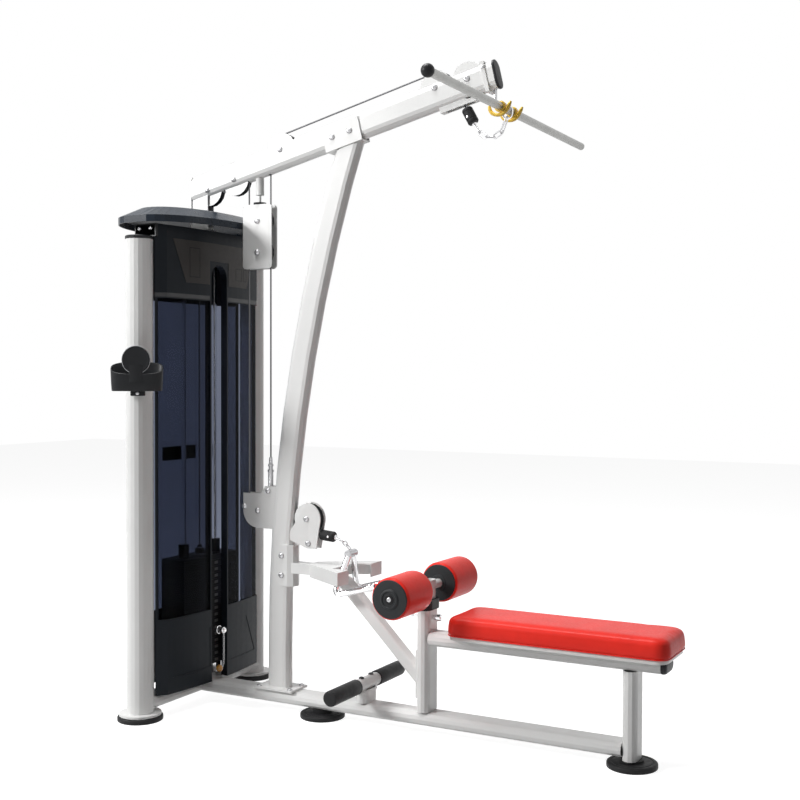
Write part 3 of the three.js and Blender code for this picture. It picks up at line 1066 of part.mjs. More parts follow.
// ---------------------------------------------------------------- accessory tray
function tray() {
  const turn = THREE.MathUtils.degToRad(-55);
  const out = at(Math.cos(turn), Math.sin(turn), 0);
  const side = at(-out.y, out.x, 0);
  const origin = at(0, -COLUMN_HALF_SPAN, 0);
  const put = (geometry) => placed(geometry, origin, side, Z);
  const [inner, outer] = [COLUMN_RADIUS + GAP + 1, COLUMN_RADIUS + 80];
  const bottom = 1234;
  const [frontTop, backTop] = [1296, 1342];
  const extrude = (shape, z0, z1) => {
    const settings = { depth: z1 - z0, bevelEnabled: false, curveSegments: 4 };
    const geometry = new THREE.ExtrudeGeometry(shape, settings);
    geometry.translate(0, 0, z0);
    return geometry;
  };
  const sign = -Math.sign(new THREE.Vector3().crossVectors(Z, side).dot(out)) || 1;
  const span = (a, b) => (sign > 0 ? [-b, -a] : [a, b]);
  const [y0, y1] = span(inner, outer);
  const cup = put(extrude(rounded(-95, 95, y0, y1, 39), bottom, backTop));
  const hollow = put(extrude(rounded(-91, 91, y0 + 4, y1 - 4, 35), bottom + 4, backTop + 1));
  const point = (reach, across, z) => {
    const spot = origin.clone().addScaledVector(out, reach).addScaledVector(side, across);
    return [spot.x, spot.y, z];
  };
  const above = [-120, 120].map((across) => [
    point(inner - 1, across, backTop), point(outer + 1, across, frontTop),
    point(outer + 1, across, backTop + 60), point(inner - 1, across, backTop + 60)]);
  const slope = loft(above);
  const sloped = cut(cut(cup, hollow), slope.volume() > 0 ? slope : loft(above.reverse()));
  const discAt = (reach) => origin.clone().addScaledVector(out, reach).setZ(1348);
  const disc = rod(50, discAt(outer - 9), discAt(outer - 0.5), 24);
  const [n0, n1] = span(outer - 9, outer - 0.5);
  const neck = put(extrude(rounded(-23, 23, n0, n1, 3), frontTop - 30, frontTop + 30));
  const [c0, c1] = span(inner - 4, inner + 26);
  const clampShape = rounded(-26, 26, c0 + (sign > 0 ? 0 : 4), c1 - (sign > 0 ? 4 : 0), 6);
  const clamp = put(extrude(clampShape, bottom - 18, bottom + 1));
  const columnClearance = rodZ(COLUMN_RADIUS + GAP, 0, -COLUMN_HALF_SPAN, bottom - 60, backTop + 200, 20);
  add('accessory_tray', cut(join(sloped, disc, neck, clamp), columnClearance), BLACK);
}

columns();
base();
upright();
boom();
saddle();
topBeam();
stack();
shrouds();
cover();
pulleys();
floatingBlock();
lowBracket();
rowBracket();
rowArm();
brace();
seat();
rollers();
footrest();
cables();
latStation();
rowStation();
tray();

export default machine;
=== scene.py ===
"""Combined lat pulldown and low row machine: finishes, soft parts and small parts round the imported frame."""
import json
import math

import bmesh
import bpy
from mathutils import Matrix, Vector


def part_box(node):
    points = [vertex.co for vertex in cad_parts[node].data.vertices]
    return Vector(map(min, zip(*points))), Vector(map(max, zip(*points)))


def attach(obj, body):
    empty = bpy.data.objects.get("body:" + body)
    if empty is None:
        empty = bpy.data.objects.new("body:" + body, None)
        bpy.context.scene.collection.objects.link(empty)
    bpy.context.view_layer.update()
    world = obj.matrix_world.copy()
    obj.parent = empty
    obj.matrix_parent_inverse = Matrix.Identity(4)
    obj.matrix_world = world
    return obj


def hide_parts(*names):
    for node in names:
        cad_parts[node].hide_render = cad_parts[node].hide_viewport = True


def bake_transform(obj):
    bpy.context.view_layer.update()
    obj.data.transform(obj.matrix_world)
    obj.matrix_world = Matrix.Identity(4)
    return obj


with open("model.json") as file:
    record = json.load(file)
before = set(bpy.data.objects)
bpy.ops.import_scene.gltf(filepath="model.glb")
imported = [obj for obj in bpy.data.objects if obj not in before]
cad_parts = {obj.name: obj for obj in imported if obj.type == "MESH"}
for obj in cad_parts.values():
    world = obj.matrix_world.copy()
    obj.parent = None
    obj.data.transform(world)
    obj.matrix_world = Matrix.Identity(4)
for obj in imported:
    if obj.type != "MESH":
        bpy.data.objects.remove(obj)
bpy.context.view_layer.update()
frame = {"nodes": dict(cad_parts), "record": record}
nodes = frame["nodes"]

MM = 0.001
TOWER_X = -0.581  # the tower columns' plane, from the middle foot
X, Y, Z = Vector((1, 0, 0)), Vector((0, 1, 0)), Vector((0, 0, 1))


def place(x, y, z):
    """A point given in millimetres from the tower columns' plane."""
    return Vector((x * MM + TOWER_X, y * MM, z * MM))


# ------ materials
def give(node, values):
    """Sets inputs of a shader node by name."""
    for key, value in values.items():
        node.inputs[key].default_value = value


def material(name, colour, roughness, metallic=0.0, **inputs):
    made = bpy.data.materials.new(name)
    made.use_nodes = True
    give(made.node_tree.nodes["Principled BSDF"], {
        "Base Color": (*colour, 1), "Roughness": roughness, "Metallic": metallic,
        **{key.replace("_", " "): value for key, value in inputs.items()}})
    return made


class Tree:
    """Short names for the nodes that the materials share."""

    def __init__(self, owner):
        self.tree = owner.node_tree
        self.shader = self.tree.nodes["Principled BSDF"]
        self.coordinates = self.tree.nodes.new("ShaderNodeTexCoord").outputs["Object"]

    def node(self, kind, values, **settings):
        made = self.tree.nodes.new(kind)
        for key, value in settings.items():
            setattr(made, key, value)
        give(made, values)
        return made

    def link(self, output, target):
        self.tree.links.new(output, target)

    def stretched(self, scale):
        made = self.node("ShaderNodeMapping", {"Scale": scale})
        self.link(self.coordinates, made.inputs["Vector"])
        return made.outputs["Vector"]

    def noise(self, scale, detail, vector=None):
        made = self.node("ShaderNodeTexNoise", {"Scale": scale, "Detail": detail})
        self.link(vector or self.coordinates, made.inputs["Vector"])
        return made.outputs["Fac"]

    def cells(self, scale):
        """Distance to the edges of the cells of a leather grain."""
        made = self.node("ShaderNodeTexVoronoi", {"Scale": scale}, feature="DISTANCE_TO_EDGE")
        self.link(self.coordinates, made.inputs["Vector"])
        return made.outputs["Distance"]

    def ramp(self, value, low, high):
        """Spreads the middle part of a noise's range from low to high."""
        made = self.node("ShaderNodeMapRange", {
            "From Min": 0.3, "From Max": 0.7, "To Min": low, "To Max": high})
        self.link(value, made.inputs["Value"])
        return made.outputs["Result"]

    def blend(self, factor, first, second):
        made = self.node("ShaderNodeMix", {"A": (*first, 1), "B": (*second, 1)}, data_type="RGBA")
        self.link(factor, made.inputs["Factor"])
        return made.outputs["Result"]

    def bump(self, height, strength, distance, below=None):
        made = self.node("ShaderNodeBump", {"Strength": strength, "Distance": distance})
        self.link(height, made.inputs["Height"])
        if below:
            self.link(below, made.inputs["Normal"])
        return made.outputs["Normal"]

    def tone(self, colour, spread, scale, detail):
        """A base colour that wanders between a darker and a lighter shade."""
        shades = [[channel * (1 + sign * spread) for channel in colour] for sign in (-1, 1)]
        wander = self.ramp(self.noise(scale, detail), 0, 1)
        self.link(self.blend(wander, *shades), self.shader.inputs["Base Color"])

    def roughness(self, output):
        self.link(output, self.shader.inputs["Roughness"])

    def normal(self, output):
        self.link(output, self.shader.inputs["Normal"])


def coated(name, colour, roughness, peel=0.06, coat=0.35):
    """Sprayed or powder-coated metal: orange peel, and a little unevenness in tone and gloss."""
    made = material(name, colour, roughness, Coat_Weight=coat, Coat_Roughness=0.12)
    tree = Tree(made)
    tree.tone(colour, 0.02, 6, 3)
    tree.roughness(tree.ramp(tree.noise(40, 4), roughness * 0.85, roughness * 1.2))
    tree.normal(tree.bump(tree.noise(900, 2), peel, 0.0004))
    return made


def moulded(name, colour, roughness, grain=700, depth=0.06, spread=0.12, specular=0.2):
    """Textured plastic or rubber: a fine, soft grain, and slow changes of tone."""
    made = material(name, colour, roughness, Specular_IOR_Level=specular)
    tree = Tree(made)
    tree.tone(colour, spread, 9, 4)
    tree.roughness(tree.ramp(tree.noise(60, 3), roughness * 0.85, roughness * 1.15))
    tree.normal(tree.bump(tree.noise(grain, 3), depth, 0.0005))
    return made


def vinyl(name, colour):
    """Upholstery vinyl: leather grain of small cells over soft creases."""
    made = material(name, colour, 0.38, Coat_Weight=0.05, Coat_Roughness=0.2, Specular_IOR_Level=0.14)
    tree = Tree(made)
    tree.tone(colour, 0.05, 14, 4)
    tree.roughness(tree.ramp(tree.noise(120, 3), 0.32, 0.44))
    creases = tree.bump(tree.noise(26, 3), 0.10, 0.003)
    tree.normal(tree.bump(tree.cells(750), 0.10, 0.0006, creases))
    return made


def metal(name, colour, roughness, stretch=(1, 1, 1), brushed=0.03):
    """Plated, polished or brushed steel with faint drawing marks."""
    made = material(name, colour, roughness, 1.0)
    tree = Tree(made)
    marks = tree.noise(300, 3, tree.stretched(stretch))
    tree.tone(colour, 0.05, 20, 3)
    tree.roughness(tree.ramp(marks, roughness * 0.7, roughness * 1.4))
    tree.normal(tree.bump(marks, brushed, 0.0003))
    return made


def smoked(name, colour):
    """Tinted acrylic: see-through, with a faint unevenness in its tint and gloss."""
    made = material(name, colour, 0.04, Transmission_Weight=1.0, IOR=1.08)
    tree = Tree(made)
    tree.tone(colour, 0.06, 3, 2)
    tree.roughness(tree.ramp(tree.noise(30, 2), 0.02, 0.06))
    return made


WHITE = coated("white_powder_coat", (0.83, 0.83, 0.82), 0.38)
BLACK_PAINT = coated("black_powder_coat", (0.012, 0.013, 0.015), 0.5, peel=0.15, coat=0.1)
PLASTIC = moulded("black_moulded_plastic", (0.013, 0.014, 0.016), 0.42)
RUBBER = moulded("black_rubber", (0.016, 0.016, 0.017), 0.55, grain=900, depth=0.2)
DISC = moulded("dark_end_disc", (0.028, 0.030, 0.032), 0.45)
SLATE = moulded("slate_shroud_plastic", (0.011, 0.0145, 0.0195), 0.38, depth=0.006, spread=0.05,
                specular=0.12)
COVER = moulded("slate_cover_plastic", (0.010, 0.017, 0.028), 0.3, grain=300, depth=0.008, spread=0.05)
CARD = moulded("bare_placard", (0.036, 0.032, 0.030), 0.42, depth=0.02, spread=0.06)
INK = moulded("placard_outline", (0.010, 0.010, 0.010), 0.4, depth=0.02, spread=0.05)
MARK = coated("grey_plate_mark", (0.09, 0.09, 0.088), 0.5)
# Light grey standing in for the glossy highlight round the tray disc's rim: a painted highlight.
RIM_HIGHLIGHT = moulded("painted_highlight_rim", (0.55, 0.56, 0.58), 0.3, depth=0.03)
KNURL = moulded("ribbed_grip_rubber", (0.015, 0.015, 0.016), 0.5, depth=0.12)
IRON = moulded("black_cast_plates", (0.010, 0.010, 0.011), 0.5, grain=500, depth=0.35)
RED = vinyl("red_vinyl", (0.93, 0.034, 0.022))
CHROME = metal("bright_chrome", (0.82, 0.82, 0.83), 0.12)
BAR = metal("satin_bar_steel", (0.36, 0.36, 0.35), 0.36, stretch=(0.5, 0.5, 0.5), brushed=0.004)
LINK = metal("zinc_link", (0.50, 0.50, 0.51), 0.33)
BOLT = metal("plated_bolt", (0.45, 0.45, 0.46), 0.3)
BLACK_BOLT = metal("blackened_bolt", (0.05, 0.05, 0.052), 0.35)
CABLE = metal("cable_steel", (0.11, 0.11, 0.115), 0.45)
YELLOW = coated("yellow_enamel", (0.86, 0.56, 0.05), 0.4, peel=0.008, coat=0.2)
GOLD = coated("orange_gold_ball", (0.55, 0.24, 0.02), 0.3, peel=0.01, coat=0.4)
SMOKE = smoked("smoked_pane", (0.145, 0.162, 0.215))

FINISHES = {
    "white_paint": WHITE, "black_paint": BLACK_PAINT, "black_rubber": RUBBER, "black_plastic": PLASTIC,
    "shroud_plastic": SLATE, "smoked_pane": SMOKE, "cast_plates": IRON, "bright_steel": CHROME,
    "cable_steel": CABLE, "red_vinyl": RED,
}


def repaint(name, paint, chosen):
    """A second finish on the faces of a CAD node whose centre and normal pass a test."""
    mesh = nodes[name].data
    mesh.materials.append(paint)
    index = len(mesh.materials) - 1
    for face in mesh.polygons:
        if chosen(face.center, face.normal):
            face.material_index = index


def smooth_edges(obj, angle=35):
    """Smooth shading with the sharp edges kept."""
    mesh = obj.data
    mesh.polygons.foreach_set("use_smooth", [True] * len(mesh.polygons))
    work = bmesh.new()
    work.from_mesh(mesh)
    limit = math.radians(angle)
    for edge in work.edges:
        edge.smooth = not (len(edge.link_faces) == 2 and edge.calc_face_angle(0) > limit)
    work.to_mesh(mesh)
    work.free()


# ------ mesh pieces
def piece(name, vertices, faces, paint, body, smooth=35):
    mesh = bpy.data.meshes.new(name)
    mesh.from_pydata([tuple(v) for v in vertices], [], faces)
    mesh.validate()
    work = bmesh.new()
    work.from_mesh(mesh)
    bmesh.ops.recalc_face_normals(work, faces=work.faces)
    work.to_mesh(mesh)
    work.free()
    made = bpy.data.objects.new(name, mesh)
    bpy.context.scene.collection.objects.link(made)
    mesh.materials.append(paint)
    if smooth:
        smooth_edges(made, smooth)
    if body:
        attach(made, body)
    return made


def basis(axis):
    along = axis.normalized()
    across = Z.cross(along) if abs(along.z) < 0.9 else X.copy()
    across = (across - along * across.dot(along)).normalized()
    return across, along.cross(across), along


def full_turn(count):
    """Evenly spaced angles of one turn."""
    return [2 * math.pi * i / count for i in range(count)]


def circle(centre, radius, first, second, count):
    """Points of a circle in the plane of two axes; the radius is in millimetres."""
    return [centre + (first * math.sin(a) + second * math.cos(a)) * (radius * MM) for a in full_turn(count)]


def ball(radius, rings):
    """Profile of a ball, for a lathe."""
    angles = [math.pi * (i + 0.5) / rings for i in range(rings)]
    return [(radius * math.sin(a), -radius * math.cos(a)) for a in angles]


def skin(rings, around, capped=False, looped=False):
    """Faces over rings of points: open, with a face over each end, or back to the first ring."""
    total = rings * around
    faces = []
    for ring in range(rings if looped else rings - 1):
        for step in range(around):
            a, b = ring * around + step, ring * around + (step + 1) % around
            faces.append((a, b, (b + around) % total, (a + around) % total))
    if capped:
        faces += [tuple(range(around))[::-1], tuple(range(total - around, total))]
    return faces


def lathe(profile, origin, axis, segments, capped=False, looped=False):
    """Vertices and faces of a profile of (radius, height) in millimetres, turned about an axis."""
    across, other, along = basis(axis)
    vertices = []
    for radius, height in profile:
        for angle in full_turn(segments):
            spoke = across * math.cos(angle) + other * math.sin(angle)
            vertices.append(origin + along * (height * MM) + spoke * (radius * MM))
    return vertices, skin(len(profile), segments, capped, looped)


def turned(name, profile, origin, axis, paint, body, segments=32, capped=True):
    return piece(name, *lathe(profile, origin, axis, segments, capped), paint, body)


def loft(rings):
    """A closed form over rings of points."""
    return [point for ring in rings for point in ring], skin(len(rings), len(rings[0]), capped=True)


def merge(parts):
    """Several (vertices, faces) as one."""
    vertices, faces = [], []
    for more_vertices, more_faces in parts:
        offset = len(vertices)
        vertices += more_vertices
        faces += [tuple(i + offset for i in face) for face in more_faces]
    return vertices, faces


def tube(points, radius, sides, loop=False):
    """Vertices and faces of a round tube along points, in metres."""
    count = len(points)
    vertices = []
    side = None
    for i, point in enumerate(points):
        after = points[(i + 1) % count] if loop or i < count - 1 else point
        before = points[i - 1] if loop or i > 0 else point
        along = (after - before).normalized()
        if side is None:
            side = basis(along)[0]
        side = (side - along * side.dot(along)).normalized()
        other = along.cross(side)
        vertices += [point + (side * math.cos(a) + other * math.sin(a)) * radius for a in full_turn(sides)]
    return vertices, skin(count, sides, capped=not loop, looped=loop)


def smooth_path(points, per_span):
    """Catmull-Rom curve through points."""
    padded = [points[0] * 2 - points[1], *points, points[-1] * 2 - points[-2]]
    out = []
    for i in range(1, len(padded) - 2):
        p0, p1, p2, p3 = padded[i - 1:i + 3]
        for step in range(per_span):
            t = step / per_span
            out.append(0.5 * ((2 * p1) + (p2 - p0) * t + (2 * p0 - 5 * p1 + 4 * p2 - p3) * t * t
                              + (3 * p1 - p0 - 3 * p2 + p3) * t ** 3))
    out.append(points[-1].copy())
    return out


BUTTON = [(11.5, 0), (11.5, 1.2), (10.8, 3.4), (9.0, 5.4), (6.6, 6.6), (4.4, 7.0)]
SOCKET_DEPTH, SOCKET_RADIUS = 4.0, 3.4


def button_bolt(origin, axis, scale=1.0, segments=18):
    """Domed bolt head with a six-sided socket."""
    profile = [(r * scale, h * scale) for r, h in BUTTON]
    vertices, faces = lathe(profile, origin, axis, segments)
    faces.append(tuple(range(segments))[::-1])
    across, other, along = basis(axis)
    rim = len(vertices) - segments
    top = profile[-1][1]
    hexes = []
    for depth in (top, top - SOCKET_DEPTH * scale):
        hexes.append(len(vertices))
        for step in range(6):
            angle = math.pi / 3 * step
            spoke = across * math.cos(angle) + other * math.sin(angle)
            vertices.append(origin + along * (depth * MM) + spoke * (SOCKET_RADIUS * scale * MM))
    per = segments // 6
    for step in range(6):
        arc = [rim + (step * per + i) % segments for i in range(per + 1)]
        faces.append((*arc, hexes[0] + (step + 1) % 6, hexes[0] + step))
        a, b = hexes[0] + step, hexes[0] + (step + 1) % 6
        faces.append((a, b, b + 6, a + 6))
    faces.append(tuple(hexes[1] + step for step in range(6)))
    return vertices, faces


def bolts(name, places, body, scale=1.0, paint=BOLT):
    """One piece holding the bolt heads at places, each a (point, axis) pair."""
    parts = [button_bolt(point, axis, scale) for point, axis in places]
    return piece(name, *merge(parts), paint, body, 30)


slots = {entry["node"]: entry["material_slot"] for entry in frame["record"]["subparts"]}
for name, node in nodes.items():
    node.data.materials.clear()
    node.data.materials.append(FINISHES[slots[name]])
    smooth_edges(node)


# ------ shared dimensions, in millimetres
BOOM_ANGLE = math.radians(13.4)
BOOM_TAN = math.tan(BOOM_ANGLE)
BOOM_ALONG = Vector((math.cos(BOOM_ANGLE), 0, math.sin(BOOM_ANGLE)))
BOOM_UP = Vector((-BOOM_ALONG.z, 0, BOOM_ALONG.x))
BOOM_AXIS_HEIGHT = 2031
BOOM_TIP = 1322
BOOM_PITCH, BLOCK_PITCH, ROW_PITCH = 58, 50.5, 53  # a cable's radius round a pulley
# (x, z) of the pulleys, from the tower to the tip, on the floating block, and of the low row
REAR, FRONT, MID, TIP, GUIDE = [
    (x, BOOM_AXIS_HEIGHT + x * BOOM_TAN + rise)
    for x, rise in ((58, -23), (186, -20), (403, 25), (1059, 30), (1185, 17))]
BLOCK_UPPER, BLOCK_LOWER = (294.5, 1887.5), (294.5, 1766.5)
LOW, ROW = (297, 769), (520, 749)
ANCHOR = (345, 848)
STACK_CABLE_END, ANCHOR_CABLE_END = 614.3, 974.3
CABLE_RADIUS = 3
COLUMN_Y = 359
CHEEK = 20  # outer face of every bracket plate, from the centre line
BOOM_HALF, BOOM_HALF_HEIGHT = 25, 50
PIN_Z = 280.5
BAR_X, BAR_Z = 1358, 2195
BAR_FROM, BAR_TO = -665, 672
BAR_EYE_Y = -62
HOOKS_AT = (-126, -26)
HUB_X, HUB_Z = 706, 630
FOOTREST_X = 771
ROLLER_X, ROLLER_Z = 1025, 533
ROLLER_FROM, ROLLER_LENGTH = 93, 190
SHROUD_FRONT, SHROUD_BULGE, SHROUD_SHOULDER = 100, 25, 290
WINDOW_BOTTOM, WINDOW_TOP = 370, 1582
SIDES = (-1, 1)  # near and far


def boom_at(u, v, y=0):
    """A point u along the boom's axis from the columns' plane, and v above it."""
    return place(0, y, BOOM_AXIS_HEIGHT) + BOOM_ALONG * (u * MM) + BOOM_UP * (v * MM)


def both_sides(x, z, half):
    """A bolt head on each side of a plate pair."""
    return [(place(x, sign * half, z), Y * sign) for sign in SIDES]


def stands_for(made, node):
    """Shows a piece in place of a CAD node, whose part it hides."""
    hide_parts(node)
    return made


# ------ two-tone CAD nodes, and painted shade in the shroud's groove
END_CAPS_FROM = {"column_near": 1798, "column_far": 1798, "front_post": 455}
REAR_PANE_BEHIND = -44  # the rear shroud's face, seen from the columns' plane
GROOVE_FROM, GROOVE_TO = WINDOW_TOP + 4, WINDOW_TOP + 20
STOP_DROP, STOP_HALF = 88, 27  # lift stop: below the boom, and half its width
STEM_AT, STEM_RADIUS = 1308, 7  # the stud under the boom's tip
MARGIN = 0.1


def tower(point):
    """The x and z of a point, in millimetres from the tower columns' plane and the floor."""
    return (point.x - TOWER_X) / MM, point.z / MM


def in_rear_window(centre, normal):
    x, z = tower(centre)
    return x < REAR_PANE_BEHIND and WINDOW_BOTTOM - MARGIN < z < WINDOW_TOP + MARGIN and abs(normal.z) < 0.5


# Faces of the groove over the windows, which are painted black as the shade that falls there.
def in_groove_painted_shade(centre, normal):
    x, z = tower(centre)
    return GROOVE_FROM - MARGIN < z < GROOVE_TO + MARGIN and x > 0


def on_lift_stop(centre, normal):
    x, z = tower(centre)
    under_boom = BOOM_AXIS_HEIGHT + BLOCK_UPPER[0] * BOOM_TAN - BOOM_HALF_HEIGHT / math.cos(BOOM_ANGLE)
    return (abs(x - BLOCK_UPPER[0]) < STOP_HALF and z < under_boom - STOP_DROP
            and abs(centre.y) < STOP_HALF * MM)


def on_tip_stem(centre, normal):
    stem = boom_at(STEM_AT, -BOOM_HALF_HEIGHT)
    return (abs(centre.x - stem.x) < STEM_RADIUS * MM and centre.z < stem.z - 1 * MM
            and abs(centre.y) < STEM_RADIUS * MM)


for name, height in END_CAPS_FROM.items():
    repaint(name, PLASTIC, lambda centre, normal, height=height: centre.z / MM > height - 0.5)
for name in [name for name in nodes if name.endswith("pulley")]:
    low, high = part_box(name)
    half = (high.y - low.y) / 2
    repaint(name, WHITE, lambda c, n, half=half: abs(n.y) > 0.9 and abs(c.y) > half * 0.9)
nodes["tower_cap"].data.materials[0] = COVER
smooth_edges(nodes["tower_cap"], 50)
repaint("rear_shroud", SMOKE, in_rear_window)
# Painted shade: the groove above the windows is painted black.
repaint("front_shroud", BLACK_PAINT, in_groove_painted_shade)
repaint("boom", PLASTIC, on_lift_stop)
repaint("boom", BOLT, on_tip_stem)


# ------ feet
FOOT_EDGE = [(70, 0), (82, 0), (84.3, 1.2), (85, 3.5), (85, 13), (84, 16), (81, 18.4), (76, 19.6), (71, 19.2),
             (69.5, 17.6), (67, 17.6), (65.5, 19.3), (62, 20), (40, 20)]
FOOT_TOP = 20
for name, x, y, top in (("foot_middle", 581, 0, 35.7), ("foot_rear", 1787, 0, 27.7),
                        ("foot_tower_near", 0, -COLUMN_Y, FOOT_TOP),
                        ("foot_tower_far", 0, COLUMN_Y, FOOT_TOP)):
    stud = [(39, FOOT_TOP + 1), (39, top)] if top > FOOT_TOP else [(39, FOOT_TOP)]
    made = turned(f"{name}_pad", FOOT_EDGE + stud, place(x, y, 0), Z, RUBBER, "frame", 56)
    stands_for(made, name)


# ------ bolt heads
bolts("boom_bolts", [bolt for at in (REAR, FRONT, MID, TIP, GUIDE) for bolt in both_sides(*at, BOOM_HALF)],
      "frame")
bolts("saddle_bolts", [(boom_at(u, -7, sign * 30.3), Y * sign) for u in (654, 731) for sign in SIDES],
      "frame")
bolts("clamp_bolts", both_sides(414, 604, 31) + both_sides(414, 529, 31), "frame")
bolts("low_bracket_bolts", both_sides(*LOW, CHEEK) + both_sides(235, 783, CHEEK)
      + both_sides(*ANCHOR, CHEEK), "frame")
bolts("row_bracket_bolts", both_sides(*ROW, CHEEK) + both_sides(528, 657, CHEEK), "frame")
bolts("block_bolts", both_sides(*BLOCK_UPPER, CHEEK) + both_sides(*BLOCK_LOWER, CHEEK), "block")
bolts("upright_foot_bolts", [(place(390 + dx, dy, 94.3), Z) for dx in (-70, 70) for dy in (-42, 42)],
      "frame", 0.9)
bolts("footrest_bolts", [(place(FOOTREST_X, y, 176.6), Z) for y in (-35, 35)], "frame", 0.9, BLACK_BOLT)
bolts("seat_rail_bolts", [(place(x, 0, 326), -Z) for x in (1262, 1560, 1853)], "frame", 0.8)
bolts("crossbeam_bolts", [(place(x, sign * 325, 1842), Y * sign) for x in (-26, 26) for sign in SIDES],
      "frame", 0.7)
bolts("strap_bolts", [(boom_at(1289, 34, sign * 29), Y * sign) for sign in SIDES], "frame", 0.55)


# ------ cables
RUN_STEPS = 24
ARC_STEP = 0.12  # radians


def cable_line(stops):
    """Straight runs and arcs, in turn, of a cable over pulleys.

    A stop is (x, z, r), with r above 0 for a left turn, below 0 for a right turn and 0 at an end.
    """
    runs = []
    for (ax, az, ar), (bx, bz, br) in zip(stops, stops[1:]):
        heading = math.atan2(bz - az, bx - ax) - math.asin((br - ar) / math.hypot(bx - ax, bz - az))
        nx, nz = -math.sin(heading), math.cos(heading)
        runs.append((heading, (ax - nx * ar, az - nz * ar), (bx - nx * br, bz - nz * br)))
    parts = []
    for i, (heading, start, end) in enumerate(runs):
        parts.append([place(start[0] + (end[0] - start[0]) * t / RUN_STEPS, 0,
                            start[1] + (end[1] - start[1]) * t / RUN_STEPS) for t in range(RUN_STEPS + 1)])
        if i + 1 < len(runs):
            x, z, r = stops[i + 1]
            turn = (runs[i + 1][0] - heading) % (2 * math.pi)
            if r < 0:
                turn -= 2 * math.pi
            steps = max(2, math.ceil(abs(turn) / ARC_STEP))
            angles = [heading + turn * t / steps for t in range(steps + 1)]
            parts.append([place(x + math.sin(a) * r, 0, z - math.cos(a) * r) for a in angles])
    return parts


def off_pulley(centre, pitch, along, run=0):
    """A point of a cable, run millimetres after it leaves a pulley."""
    return place(centre[0], 0, centre[1]) + Vector((along.z, 0, -along.x)) * (pitch * MM) + along * (run * MM)


LAT_HEADING = math.radians(-61)
LAT_STOP_RUN, ROW_STOP_RUN = 80, 282
lat_down = Vector((math.cos(LAT_HEADING), 0, math.sin(LAT_HEADING)))
lat_stop_top = off_pulley(GUIDE, BOOM_PITCH, lat_down, LAT_STOP_RUN)
row_along = (place(ROW[0], 0, ROW[1]) - place(LOW[0], 0, LOW[1])).normalized()
row_stop_start = off_pulley(LOW, ROW_PITCH, row_along, ROW_STOP_RUN)


def cable_parts(prefix, node, parts, rides):
    """One tube for each part of a cable; rides holds a body, or the two bodies a run goes between."""
    for i, (points, body) in enumerate(zip(parts, rides)):
        single = isinstance(body, str)
        run = tube(points, CABLE_RADIUS * MM, 10)
        made = piece(f"{prefix}_{i}", *run, CABLE, body if single else None, 60)
        if not single:
            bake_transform(made)
        stands_for(made, node)


lat_parts = cable_line([
    (0, STACK_CABLE_END, 0), (*REAR, -BOOM_PITCH), (*FRONT, -BOOM_PITCH), (*BLOCK_UPPER, BLOCK_PITCH),
    (*MID, -BOOM_PITCH), (*TIP, -BOOM_PITCH), (*GUIDE, BOOM_PITCH), (*tower(lat_stop_top), 0)])
cable_parts("lat_cable_run", "lat_cable", lat_parts, [
    ("stack", "frame"), "frame", "frame", "frame", ("frame", "block"), "block", ("block", "frame"), "frame",
    "frame", "frame", "frame", "frame", ("frame", "lat_station")])

row_parts = cable_line([
    (ANCHOR[0], ANCHOR_CABLE_END, 0), (*BLOCK_LOWER, BLOCK_PITCH), (*LOW, ROW_PITCH),
    (*tower(row_stop_start), 0)])
under_row = off_pulley(ROW, ROW_PITCH, row_along)
fixed_run = [row_parts[4][0].lerp(under_row, t / 8) for t in range(9)]
pulled_run = [under_row.lerp(row_parts[4][-1], t / RUN_STEPS) for t in range(RUN_STEPS + 1)]
cable_parts("row_cable_run", "row_cable", row_parts[:4] + [fixed_run, pulled_run], [
    ("frame", "block"), "block", ("block", "frame"), "frame", "frame", ("frame", "row_line")])


# ------ turnbuckle and threaded ends
def thread(from_height, to_height, radius, depth, pitch):
    """Profile of a rod with ridges, for a lathe."""
    points = [(radius - depth, from_height)]
    height = from_height
    while height + pitch < to_height:
        points += [(radius, height + pitch * 0.4), (radius, height + pitch * 0.6),
                   (radius - depth, height + pitch)]
        height += pitch
    return [*points, (radius - depth, to_height)]


turnbuckle = [
    (11.5, 2), (12.5, 4), (12.5, 10), *thread(11, 70, 10.5, 0.9, 5), (12.5, 71), (12.5, 79), (8.5, 81),
    (8.0, 92), (10.5, 93), (10.5, 101), *thread(102, 122, 7.6, 1.0, 3), (6.5, 124), (6.5, 128)]
anchor = place(ANCHOR[0], 0, ANCHOR[1])
turned("turnbuckle", turnbuckle, anchor, Z, BOLT, "frame", 20)
piece("turnbuckle_eye", *tube(circle(anchor, 11, X, Z, 20), 4 * MM, 8, loop=True), BOLT, "frame", 60)

stack_bolt = [(20, 26.4), (20, 30), (17, 32), (11, 33), *thread(34, 56, 10.6, 1.0, 3.5), (8, 58), (7, 66),
              (4, 68)]
turned("stack_cable_bolt", stack_bolt, place(0, 0, 548), Z, BOLT, "stack", 20)


# ------ cable stops and chains
STOP_PROFILE = [(7, -1), (13, 0), (17.5, 2.2), (20, 7), (20, 12), (19.2, 13), (19.2, 15), (20, 16), (20, 44),
                (19, 45), (19, 48), (20, 49), (20, 57), (17.5, 61), (13, 62)]
STOP_COLLAR = [(6, 0), (9, 0.6), (9, 4), (6, 5)]
# heights from the start of a stop, and the screw's distance from its axis
SCREW_AT, SCREW_OUT, COLLAR_AT, CHAIN_FROM = 38, 19.4, 61, 66.8
CHAIN_WIRE, CHAIN_WIDTH = 2.3, 15


def cable_stop(name, origin, along, facing, body):
    """A rubber stop with its collar and, on the facing side, its screw."""
    facing = facing.normalized()
    made = turned(f"{name}_bumper", STOP_PROFILE, origin, along, RUBBER, body, 32)
    stands_for(made, name)
    seat = origin + along * (SCREW_AT * MM) + facing * (SCREW_OUT * MM)
    piece(f"{name}_screw", *button_bolt(seat, facing, 0.42), CHROME, body, 30)
    turned(f"{name}_collar", STOP_COLLAR, origin + along * (COLLAR_AT * MM), along, CHROME, body, 20)


